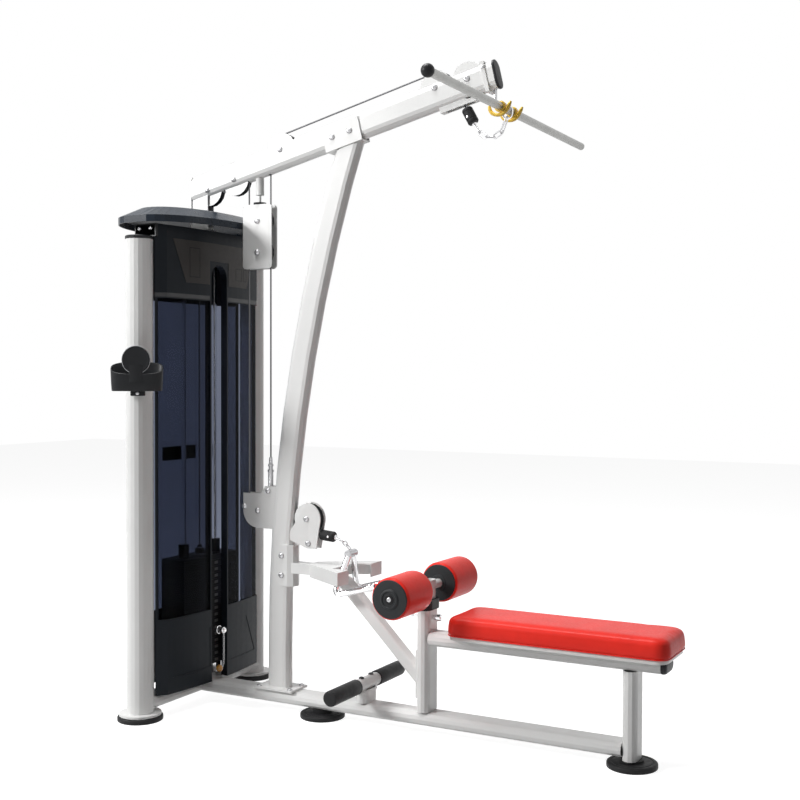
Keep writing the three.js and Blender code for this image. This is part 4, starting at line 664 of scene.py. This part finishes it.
def chain_link(start, end, across, wire, width):
    """An oval ring of round wire whose inside runs from start to end."""
    along = (end - start).normalized()
    middle = (start + end) / 2
    radius = width / 2
    half = max((end - start).length / 2 + wire - radius, 0.0002)
    path = []
    steps = 9
    for turn, sign in ((-1, -1), (1, 1)):
        for step in range(steps + 1):
            angle = math.pi * step / steps
            u = sign * (half + radius * math.sin(angle))
            v = sign * -radius * math.cos(angle)
            path.append(middle + along * u + across * v)
    return tube(path, wire, 8, loop=True)


def chain(name, points, body, wire, width):
    """Links between points, every second one turned by a quarter."""
    parts = []
    for i, (a, b) in enumerate(zip(points, points[1:])):
        across = Y.copy() if i % 2 == 0 else (b - a).normalized().cross(Y).normalized()
        parts.append(chain_link(a, b, across, wire * MM, width * MM))
    return piece(name, *merge(parts), LINK, body, 60)


cable_stop("lat_stop", lat_stop_top, lat_down, Vector((-0.35, -0.93, 0)), "lat_station")
lat_end = lat_stop_top + lat_down * (CHAIN_FROM * MM)
lat_drop = [lat_end + Vector((dx, y, dz)) * MM for dx, y, dz in (
    (0, 0, 0), (22, -6, -32), (52, -18, -52), (90, -34, -58), (124, -48, -46))]
made = chain("lat_chain_links", lat_drop, "lat_station", CHAIN_WIRE, CHAIN_WIDTH)
stands_for(made, "lat_chain")
snap_from, snap_to = lat_drop[-1], place(BAR_X - 3, BAR_EYE_Y, BAR_Z - 24)
snap_start = snap_from - (snap_to - snap_from).normalized() * (4 * MM)
chain("lat_snap_link", [snap_start, snap_to], "lat_station", 2.8, 19)

cable_stop("row_stop", row_stop_start, row_along, Vector((0.2, -0.98, 0)), "row_line")
row_end = row_stop_start + row_along * (CHAIN_FROM * MM)
row_middle = (row_end + place(HUB_X, 0, HUB_Z)) / 2 + Z * (14 * MM)
hub_top = place(HUB_X - 4, 0, HUB_Z + 15)
row_points = [row_end, row_middle, row_middle.lerp(hub_top, 0.45), hub_top]
made = chain("row_chain_links", row_points, "row_line", CHAIN_WIRE, CHAIN_WIDTH)
stands_for(made, "row_chain")


# ------ lat bar with its hanger
TAPER_RATE = 10  # a taper ends a tenth of the way along


def bent_tube(points, radius, sides, per_span, taper=(1, 1)):
    """Round bar along a smooth path; taper gives the radii at its two ends, as parts of the whole."""
    path = smooth_path(points, per_span)
    vertices, faces = tube(path, radius * MM, sides)
    count = len(path)
    for ring, middle in enumerate(path):
        t = ring / (count - 1)
        size = min(1, *(end + (1 - end) * TAPER_RATE * reach for end, reach in zip(taper, (t, 1 - t))))
        for i in range(ring * sides, (ring + 1) * sides):
            vertices[i] = middle + (vertices[i] - middle) * size
    return vertices, faces


bar_profile = [
    (11, BAR_FROM), (13.2, BAR_FROM + 0.8), (14, BAR_FROM + 3), (14, BAR_FROM + 40), (14, -200), (14, 0),
    (14, 200), (14, BAR_TO - 3), (13.2, BAR_TO - 0.8), (11, BAR_TO)]
bar = turned("lat_bar_tube", bar_profile, place(BAR_X, 0, BAR_Z), Y, BAR, "lat_station", 32)
stands_for(bar, "lat_bar")
made = turned("lat_bar_ball", ball(21, 16), place(BAR_X, BAR_FROM, BAR_Z), Y, PLASTIC, "lat_station", 32)
hook_path = [(-41, 6), (-38, -8), (-29, -20), (-12, -26), (6, -25), (21, -14), (30, 1), (38, 15)]
hooks = [bent_tube([place(BAR_X + dx, y, BAR_Z + dz) for dx, dz in hook_path], 6.5, 12, 6, (0.7, 0.5))
         for y in HOOKS_AT]
piece("bar_hooks", *merge(hooks), YELLOW, "lat_station", 60)
rings = [(f"bar_collar_{i}", [(14.2, -8), (17, -8), (19.5, -6), (19.5, 6), (17, 8), (14.2, 8)], y, YELLOW)
         for i, y in enumerate(HOOKS_AT)]
rings.append(("bar_spacer", [(14.2, 0), (16.4, 0.6), (17, 2), (17, 20), (16.4, 21.4), (14.2, 22)],
              HOOKS_AT[0] + 9, BOLT))
for name, profile, y, paint in rings:
    turned(name, profile, place(BAR_X, y, BAR_Z), Y, paint, "lat_station", 28, capped=False)
eye_from, eye_to = place(BAR_X - 2, BAR_EYE_Y, BAR_Z - 26), place(BAR_X, BAR_EYE_Y, BAR_Z + 12)
piece("bar_eye", *chain_link(eye_from, eye_to, X, 3 * MM, 34 * MM), CHROME, "lat_station", 60)


# ------ row handle
GRIP_Y = 78
GRIP_END = [(12.1, -30), (13.6, -29), (14.6, -26), (14.6, -21), (13.2, -19), (13.2, -14), (14.6, -12),
            (14.6, -3), (13.4, -0.6), (8, 0)]


def handle():
    """The bow of the row handle: a side is a bent tube from the hub to the end of its grip."""
    parts = []
    for sign in SIDES:
        y = sign * GRIP_Y
        points = [(0, sign * 10, 0), (-1, sign * 18, -8), (-5, sign * 30, -34), (-13, sign * 52, -84),
                  (-18.5, y - sign * 9, -116), (-19, y - sign * 4, -129), (-13, y - sign * 1, -138),
                  (-4, y, -141), (20, y, -134.5), (70, y, -121), (122, y, -107)]
        parts.append(bent_tube([place(HUB_X + dx, dy, HUB_Z + dz) for dx, dy, dz in points], 12, 16, 6))
    return merge(parts)


stands_for(piece("row_handle_bow", *handle(), CHROME, "handle", 60), "row_handle")
hub_profile = [(9, -29), (14, -28), (14.8, -23), *[(13.6 + 1.0 * (i % 2), -20 + i * 2.5) for i in range(17)],
               (14.8, 23), (14, 28), (9, 29)]
turned("row_handle_hub", hub_profile, place(HUB_X, 0, HUB_Z), Y, BOLT, "handle", 24)
grip_along = Vector((153, 0, 42)).normalized()
for i, sign in enumerate(SIDES):
    grip_end = place(HUB_X + 149, sign * GRIP_Y, HUB_Z - 99)
    turned(f"row_grip_end_{i}", GRIP_END, grip_end, grip_along, CHROME, "handle", 24)


# ------ selector pin
pin_at = place(0, 0, PIN_Z)
made = turned("pin_shaft", [(2, -24), (3, -23), (5, -20), (5, 102), (5, 103)], pin_at, X, CHROME, "pin", 20)
stands_for(made, "selector_pin")
knob = [(9, 102), (11.5, 103), (13, 106), (13, 116), (12, 120), (9.5, 122), (9.5, 125), (6, 128), (3, 129)]
turned("pin_knob", knob, pin_at, X, CHROME, "pin", 28)
pin_ring = circle(place(97, 0, PIN_Z), 15, Y, Z, 32)
piece("pin_ring", *tube(pin_ring, 1.6 * MM, 8, loop=True), CHROME, "pin", 60)
LANYARD_X, BALL_Z = 98, 126
lanyard = smooth_path([place(LANYARD_X, y, z) for y, z in (
    (12, PIN_Z), (23, PIN_Z - 3), (28, PIN_Z - 14), (29, PIN_Z - 60), (28.5, BALL_Z + 40), (26, BALL_Z + 12),
    (18, BALL_Z + 1), (10, BALL_Z))], 24)


def evenly(path, spacing):
    """Points a fixed distance apart along a path."""
    picked, left = [path[0]], spacing
    for a, b in zip(path, path[1:]):
        length = (b - a).length
        while left <= length:
            picked.append(a + (b - a) * (left / length))
            left += spacing
        left -= length
    return picked


chain("pin_lanyard", evenly(lanyard, 8.5 * MM), "pin", 1.0, 6.4)
turned("pin_ball", ball(14, 14), place(LANYARD_X, 0, BALL_Z), Y, GOLD, "pin", 28)


# ------ padded pieces
PRESSURE, FRAMES, QUALITY = 4.0, 20, 5  # of the cloth simulation


def evaluated(obj):
    return bpy.data.meshes.new_from_object(obj.evaluated_get(bpy.context.evaluated_depsgraph_get()))


def set_mesh(obj, mesh, paint):
    old = obj.data
    obj.modifiers.clear()
    obj.data = mesh
    bpy.data.meshes.remove(old)
    mesh.materials.clear()
    mesh.materials.append(paint)


def free_above(value, start, width):
    """0, kept still, up to start, then rising to 1, free, over a width."""
    return max(0.0, min(1.0, (value - start) / width))


def inflate(obj, paint, voxel, reach, free):
    """Swells a closed form as cloth under pressure, by reach at most; free(point) is from 0 to 1."""
    remesh = obj.modifiers.new("remesh", "REMESH")
    remesh.mode = "VOXEL"
    remesh.voxel_size = voxel
    set_mesh(obj, evaluated(obj), paint)
    rest = [vertex.co.copy() for vertex in obj.data.vertices]
    cloth = obj.modifiers.new("cloth", "CLOTH")
    cloth.settings.use_pressure = True
    cloth.settings.uniform_pressure_force = PRESSURE
    cloth.settings.effector_weights.gravity = 0
    cloth.settings.quality = QUALITY
    cloth.point_cache.frame_start = 1
    cloth.point_cache.frame_end = FRAMES
    scene = bpy.context.scene
    for number in range(1, FRAMES + 1):
        scene.frame_set(number)
    swollen = [vertex.co.copy() for vertex in obj.evaluated_get(
        bpy.context.evaluated_depsgraph_get()).data.vertices]
    obj.modifiers.clear()
    scene.frame_set(1)
    for vertex, start, end in zip(obj.data.vertices, rest, swollen):
        move = end - start
        if move.length > reach:
            move *= reach / move.length
        vertex.co = start + move * free(start)
    subdivision = obj.modifiers.new("subdivision", "SUBSURF")
    subdivision.levels = 1
    set_mesh(obj, evaluated(obj), paint)
    obj.data.polygons.foreach_set("use_smooth", [True] * len(obj.data.polygons))


SLEEVE = [(17.5, 0.5), (60, 0.5), (66, 0), (70.5, 1.8), (72.6, 5), (73.2, 10), (73.4, 95), (73.2, 180),
          (72.6, 185), (70.5, 188.2), (66, 190), (60, 189.5), (17.5, 189.5)]
DISC_EDGE = [(66, -2), (66.5, 1.2), (65, 2.8), (62, 3.2)]
END_DISC = [(60, -3), *DISC_EDGE, (36, 3.2), (34.5, 4.6), (33, 7.6), (30.5, 8.8), (27.5, 8.6), (26, 7.2),
            (25, 5.0), (12, 4.8)]
INNER_DISC = [(17.3, -3), *DISC_EDGE, (30, 3.2), (28.5, 5.5), (24, 6.2), (17.3, 6.2)]
WASHER = [(8.5, 4.6), (17, 4.7), (17, 6.0), (15, 7.0), (11, 6.4), (8.5, 6.4)]


def rollers():
    start = place(ROLLER_X, -ROLLER_FROM, ROLLER_Z)
    near = piece("roller_sleeve_near", *lathe(SLEEVE, start, -Y, 96, looped=True), RED, None, smooth=0)

    def free(point):
        """Still over the core, free at the skin."""
        return free_above(math.hypot(point.x - start.x, point.z - start.z) / MM, 60, 10)

    inflate(near, RED, 5 * MM, 1.8 * MM, free)
    far_mesh = near.data.copy()
    for vertex in far_mesh.vertices:
        vertex.co.y = -vertex.co.y
    far_mesh.flip_normals()
    far = bpy.data.objects.new("roller_sleeve_far", far_mesh)
    bpy.context.scene.collection.objects.link(far)
    for side, sign, sleeve in (("near", -1, near), ("far", 1, far)):
        body = f"roller_{side}"
        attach(sleeve, body)
        stands_for(sleeve, body)
        out = Y * sign
        outer = place(ROLLER_X, sign * (ROLLER_FROM + ROLLER_LENGTH), ROLLER_Z)
        inner = place(ROLLER_X, sign * ROLLER_FROM, ROLLER_Z)
        turned(f"roller_disc_{side}", END_DISC, outer, out, DISC, body, 64)
        piece(f"roller_inner_disc_{side}", *lathe(INNER_DISC, inner, -out, 64, looped=True), DISC, body)
        piece(f"roller_bolt_{side}", *button_bolt(outer + out * (4.8 * MM), out, 0.8), BOLT, body, 30)
        washer = turned(f"roller_washer_{side}", WASHER, outer, out, IRON, body, 28, capped=False)


rollers()


# ------ seat
SEAT_FROM, SEAT_TO, SEAT_HALF = 1146, 1944, 132
SEAT_CORNER = 52
PAD_BOTTOM = 391.5


def rounded_ring(inset, z, per_corner=10):
    """Points of a rounded rectangle in plan, drawn in from the seat's outline."""
    x0, x1, half = SEAT_FROM + inset, SEAT_TO - inset, SEAT_HALF - inset
    radius = max(SEAT_CORNER - inset, 6)
    points = []
    for cx, cy, start in ((x1 - radius, half - radius, 0), (x0 + radius, half - radius, 90),
                          (x0 + radius, -half + radius, 180), (x1 - radius, -half + radius, 270)):
        for step in range(per_corner + 1):
            angle = math.radians(start + 90 * step / per_corner)
            points.append(place(cx + radius * math.cos(angle), cy + radius * math.sin(angle), z))
    return points


CUSHION = [(20, PAD_BOTTOM), (11, PAD_BOTTOM + 1), (7.5, PAD_BOTTOM + 4), (5.5, PAD_BOTTOM + 10), (4.5, 412),
           (4.5, 426), (5.5, 436), (8, 443.5), (12, 449), (18, 453), (27, 455.6), (40, 457)]
BOARD = [(16, 376.4), (13.5, 377.4), (13, 379), (13, 388), (13.5, 390), (16, 391.2)]


def seat():
    rings = [rounded_ring(inset, z) for inset, z in CUSHION]
    cushion = piece("seat_cushion", *loft(rings), RED, None, smooth=0)

    def free(point):
        """Still at the board, free above it."""
        return free_above(point.z / MM, PAD_BOTTOM + 8, 30)

    inflate(cushion, RED, 6 * MM, 3 * MM, free)
    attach(cushion, "frame")
    stands_for(cushion, "seat_pad")
    board = piece("seat_board", *loft([rounded_ring(inset, z) for inset, z in BOARD]), WHITE, "frame")
    welt = tube(rounded_ring(7.5, PAD_BOTTOM + 1.6, 12), 2.2 * MM, 8, loop=True)
    piece("seat_welt", *welt, RED, "frame", 60)


seat()


# ------ oval plugs and footrest grips
def oval_ring(origin, wide, narrow, wide_axis, narrow_axis, steps=14):
    """Points of a flat oval, wide along one axis."""
    radius = narrow / 2
    middle = wide / 2 - radius
    points = []
    for side, start in ((1, -90), (-1, 90)):
        for step in range(steps + 1):
            angle = math.radians(start + 180 * step / steps)
            points.append(origin + wide_axis * ((side * middle + radius * math.cos(angle)) * MM)
                          + narrow_axis * (radius * math.sin(angle) * MM))
    return points


def oval_plug(name, node, origin, along, wide_axis, narrow_axis, profile):
    """Flat-oval cap; profile holds (height, width, thickness)."""
    rings = [oval_ring(origin + along * (height * MM), wide, narrow, wide_axis, narrow_axis)
             for height, wide, narrow in profile]
    stands_for(piece(name, *loft(rings), PLASTIC, "frame"), node)


oval_plug("boom_end_plug", "boom_end_cap", boom_at(BOOM_TIP + 0.3, 0), BOOM_ALONG, BOOM_UP, Y, [
    (0, 103, 53), (0.6, 105.4, 55.4), (2, 106, 56), (6, 106, 56), (8, 104.5, 54.5), (9, 101, 51),
    (9.4, 92, 42)])
oval_plug("rail_end_plug", "seat_rail_cap", place(1893.3, 0, 351), X, Y, Z, [
    (0, 97, 47), (0.6, 99.4, 49.4), (2, 100, 50), (8, 99.4, 49.4), (13, 96, 46), (16.5, 90, 40),
    (18.5, 80, 30), (19, 66, 16)])

GRIP = [(24.4, 0), (27.6, 0.3), (28.3, 1.6), (28.3, 60), (28.3, 120), (28.3, 181), (27.4, 184.6),
        (24.5, 186.6), (18, 187.2)]
for side, sign in zip(("near", "far"), SIDES):
    grip_from = place(FOOTREST_X, sign * 72, 153)
    made = turned(f"footrest_grip_{side}", GRIP, grip_from, Y * sign, KNURL, "frame", 48)
    stands_for(made, f"foot_grip_{side}")
saddle_plate = loft([oval_ring(place(FOOTREST_X, 0, z), 118, 46, Y, X) for z in (124, 125, 128, 129)])
piece("footrest_saddle", *saddle_plate, WHITE, "frame")

tail = [(4, 0), (4.2, 30), (6.5, 31), (7, 34), (6.5, 38), (3, 40)]
turned("post_pin_tail", tail, place(1000, 0, 425), -X, CHROME, "frame", 20)


# ------ placard, rear plate and plate marks
def shroud_x(y, out):
    """The x of a point that stands out from the shroud's bowed front."""
    return SHROUD_FRONT - SHROUD_BULGE * (y / SHROUD_SHOULDER) ** 2 + out


def sheet_on_shroud(rows, out, thickness, skip=()):
    """A thin sheet that follows the shroud's front; rows hold (z, [y, ...]), and skip the cells left open."""
    width = len(rows[0][1])
    front, back = [[place(shroud_x(y, depth), y, z) for z, across in rows for y in across]
                   for depth in (out + thickness, out)]
    offset = len(front)
    faces = []
    edges = []
    for r, c in [(r, c) for r in range(len(rows) - 1) for c in range(width - 1) if (r, c) not in skip]:
        corners = (r * width + c, r * width + c + 1, (r + 1) * width + c + 1, (r + 1) * width + c)
        faces += [corners, tuple(offset + i for i in corners[::-1])]
        edges += zip(corners, corners[1:] + corners[:1])
    rim = set(edges)
    faces += [(b, a, a + offset, b + offset) for a, b in edges if (b, a) not in rim]
    used = sorted({i for face in faces for i in face})
    renumber = {old: new for new, old in enumerate(used)}
    points = front + back
    return [points[i] for i in used], [tuple(renumber[i] for i in face) for face in faces]


CARD_BOTTOM, CARD_TOP = 1646, 1808
CARD_NOTCH, CARD_LOW_EDGE, CARD_HIGH_EDGE = 60, 195, 262
CARD_FRAMES = ((-176, -118, 1668, 1782), (112, 160, 1672, 1722), (172, 196, 1672, 1722))


def placard():
    rows = []
    for z in (CARD_BOTTOM, 1680, 1715, 1738, 1760, 1785, CARD_TOP):
        edge = CARD_LOW_EDGE + (CARD_HIGH_EDGE - CARD_LOW_EDGE) * (z - CARD_BOTTOM) / (CARD_TOP - CARD_BOTTOM)
        outer = [CARD_NOTCH + (edge - CARD_NOTCH) * t / 6 for t in range(7)]
        rows.append((z, [-y for y in outer[::-1]] + [-30, 0, 30] + outer))
    notch = [(r, c) for r in range(3) for c in range(6, 10)]
    piece("placard", *sheet_on_shroud(rows, 0.3, 0.9, notch), CARD, "frame", 30)
    for i, (y0, y1, z0, z1) in enumerate(CARD_FRAMES):
        outline = [(z, [y0, y0 + 3, y1 - 3, y1]) for z in (z0, z0 + 3, z1 - 3, z1)]
        made = piece(f"placard_frame_{i}", *sheet_on_shroud(outline, 1.2, 0.3, [(1, 1)]), INK, "frame", 30)


placard()


def beveled_box(low, high, bevel):
    """Box with chamfered edges, between two corners in millimetres."""
    (x0, y0, z0), (x1, y1, z1) = low, high
    rings = []
    for z, inset in ((z0, bevel), (z0 + bevel, 0), (z1 - bevel, 0), (z1, bevel)):
        a0, a1, b0, b1 = x0 + inset, x1 - inset, y0 + inset, y1 - inset
        rings.append([place(*point, z) for point in (
            (a1 - bevel, b1), (a0 + bevel, b1), (a0, b1 - bevel), (a0, b0 + bevel), (a0 + bevel, b0),
            (a1 - bevel, b0), (a1, b0 + bevel), (a1, b1 - bevel))])
    return loft(rings)


rear_plate = beveled_box((-105.5, -104, 951), (-99.5, 104, 1006), 1.5)
piece("rear_plate", *rear_plate, BLACK_PAINT, "frame", 30)
PLATE_PITCH = 26
for name, bottom, count, body in (("resting", 145.5, 5, "frame"), ("lifted", 275.5, 11, "stack")):
    marks = [beveled_box((55, 26, z), (55.6, 48, z + 11), 0.25)
             for z in [bottom + PLATE_PITCH * i for i in range(count)]]
    piece(f"{name}_plate_marks", *merge(marks), MARK, body, 30)


# ------ accessory tray
TRAY_TURN = math.radians(-55)
TRAY_IN, TRAY_OUT = 52.3, 131.0
TRAY_FLOOR, RIM_IN, RIM_OUT = 1234, 1342, 1296
TRAY_DEPTH_HALF, TRAY_WIDTH_HALF = 39.3, 95
SQUARENESS = 0.72  # below 1, an oval gets fuller corners
TRAY_DISC = [(46, 0), (49, 0.8), (50, 2.4), (50, 5.6), (49, 7.6), (46.5, 8.4), (43, 7.6), (38, 7.4),
             (20, 7.4)]


def tray():
    out = Vector((math.cos(TRAY_TURN), math.sin(TRAY_TURN), 0))
    side = Vector((-out.y, out.x, 0))
    origin = place(0, -COLUMN_Y, 0)

    def at(reach, across, z):
        return origin + out * (reach * MM) + side * (across * MM) + Z * (z * MM)

    def rim(reach):
        return RIM_IN + (RIM_OUT - RIM_IN) * (reach - TRAY_IN) / (TRAY_OUT - TRAY_IN)

    def swell(value, half):
        return half * math.copysign(abs(value) ** SQUARENESS, value)

    def plan(inset):
        """The cup's outline, drawn in."""
        return [((TRAY_IN + TRAY_OUT) / 2 + swell(math.cos(a), TRAY_DEPTH_HALF - inset),
                 swell(math.sin(a), TRAY_WIDTH_HALF - inset)) for a in full_turn(64)]

    outside, inside = ((8, 0), (5.5, 0.6), (4, 3), (2.2, 30)), ((6.5, 10), (10, 4))
    lip = ((0.2, 2.4), (0.2, 0.6), (1.2, 0), (3.0, 0), (4.0, 1.0))
    rings = [[at(r, a, TRAY_FLOOR + height) for r, a in plan(inset)] for inset, height in outside]
    rings += [[at(r, a, rim(r) - drop) for r, a in plan(inset)] for inset, drop in lip]
    rings += [[at(r, a, TRAY_FLOOR + height) for r, a in plan(inset)] for inset, height in inside]
    stands_for(piece("tray_cup", *loft(rings), PLASTIC, "frame", 40), "accessory_tray")
    disc_at = at(TRAY_OUT - 8.5, 0, 1348)
    turned("tray_disc", TRAY_DISC, disc_at, out, PLASTIC, "frame", 64)
    # The light ring round the disc's rim is a painted highlight.
    edge = tube(circle(disc_at + out * (5 * MM), 50.2, Z, side, 72), 1.8 * MM, 8, loop=True)
    piece("tray_disc_highlight_rim", *edge, RIM_HIGHLIGHT, "frame", 60)
    neck = [[at(TRAY_OUT + reach, across, z) for reach, across in (
        (-8.5, -24), (-1.5, -24), (-0.3, -22), (-0.3, 22), (-1.5, 24), (-8.5, 24))]
        for z in (1266, 1270, 1300, 1330)]
    piece("tray_neck", *loft(neck), PLASTIC, "frame", 40)
    clamp = [[at(reach, across, z) for reach, across in (
        (52.4, -26 + i), (74 - i, -26 + i), (78 - i, -22 + i), (78 - i, 22 - i), (74 - i, 26 - i),
        (52.4, 26 - i))] for z, i in ((1216, 2), (1218, 0), (1234.5, 0))]
    piece("tray_clamp", *loft(clamp), PLASTIC, "frame", 40)
    bolts("tray_bolt", [(at(78, 0, 1226), out)], "frame", 0.6)


tray()


# ------ camera, light and floor
SENSOR, FOCAL = 36, 53.64  # millimetres
CAMERA_AT = (2961.5, -3819.3, 1301.7)
CAMERA_TURN = (math.pi / 2 - 0.02248, -0.00232, 0.49277)
# each light's name, place, aim and diameter in metres, and power in watts
LIGHTS = (("key", (-4.2, -4.6, 3.8), (0.0, 0, 0.9), 1.8, 350),
          ("top", (-0.6, -0.4, 5.4), (0.2, 0, 0), 2.4, 185),
          ("rim", (4.6, 0.6, 2.6), (0.4, 0, 0.8), 1.6, 8))
AMBIENT = 0.05
FLOOR_GLOW, FLOOR_REACH = 0.91, 14  # the floor's half side is in metres


def camera():
    data = bpy.data.cameras.new("camera")
    data.sensor_width = SENSOR
    data.lens = FOCAL
    made = bpy.data.objects.new("camera", data)
    made.location = place(*CAMERA_AT)
    made.rotation_euler = CAMERA_TURN
    bpy.context.scene.collection.objects.link(made)
    bpy.context.scene.camera = made


def area_light(name, location, aim, size, power):
    data = bpy.data.lights.new(name, "AREA")
    data.shape = "DISK"
    data.size = size
    data.energy = power
    made = bpy.data.objects.new(name, data)
    made.location = location
    made.rotation_euler = (Vector(aim) - Vector(location)).to_track_quat("-Z", "Y").to_euler()
    bpy.context.scene.collection.objects.link(made)


def looked_at(tree):
    """1 on the rays of a camera, mirror or glass, and 0 on the others."""
    path = tree.nodes.new("ShaderNodeLightPath")
    largest = path.outputs["Is Camera Ray"]
    for name in ("Is Glossy Ray", "Is Transmission Ray"):
        combined = tree.nodes.new("ShaderNodeMath")
        combined.operation = "MAXIMUM"
        tree.links.new(largest, combined.inputs[0])
        tree.links.new(path.outputs[name], combined.inputs[1])
        largest = combined.outputs["Value"]
    return largest


def seen_white(tree, output, lit):
    """Feeds the world's output with lit, but with plain white where it is looked at."""
    mixed = tree.nodes.new("ShaderNodeMixShader")
    white = tree.nodes.new("ShaderNodeBackground")
    white.inputs["Color"].default_value = (1, 1, 1, 1)
    tree.links.new(looked_at(tree), mixed.inputs[0])
    tree.links.new(lit, mixed.inputs[1])
    tree.links.new(white.outputs[0], mixed.inputs[2])
    tree.links.new(mixed.outputs["Shader"], output)


def surroundings():
    world = bpy.data.worlds.new("studio")
    bpy.context.scene.world = world
    world.use_nodes = True
    tree = world.node_tree
    ambient = tree.nodes["Background"]
    give(ambient, {"Color": (1, 1, 1, 1), "Strength": AMBIENT})
    seen_white(tree, tree.nodes["World Output"].inputs["Surface"], ambient.outputs["Background"])
    for light in LIGHTS:
        area_light(*light)

    paint = material("pale_floor", (0.5, 0.5, 0.5), 0.95, Specular_IOR_Level=0.0, Emission_Color=(1, 1, 1, 1))
    tree = paint.node_tree
    glow = tree.nodes.new("ShaderNodeMath")
    glow.operation = "MULTIPLY"
    glow.inputs[1].default_value = FLOOR_GLOW
    tree.links.new(looked_at(tree), glow.inputs[0])
    tree.links.new(glow.outputs["Value"], tree.nodes["Principled BSDF"].inputs["Emission Strength"])
    corners = [(x * FLOOR_REACH, y * FLOOR_REACH, 0) for x, y in ((-1, -1), (1, -1), (1, 1), (-1, 1))]
    piece("floor", corners, [(0, 1, 2, 3)], paint, None, smooth=0)


camera()
surroundings()

scene = bpy.context.scene
scene.view_settings.view_transform = "Standard"
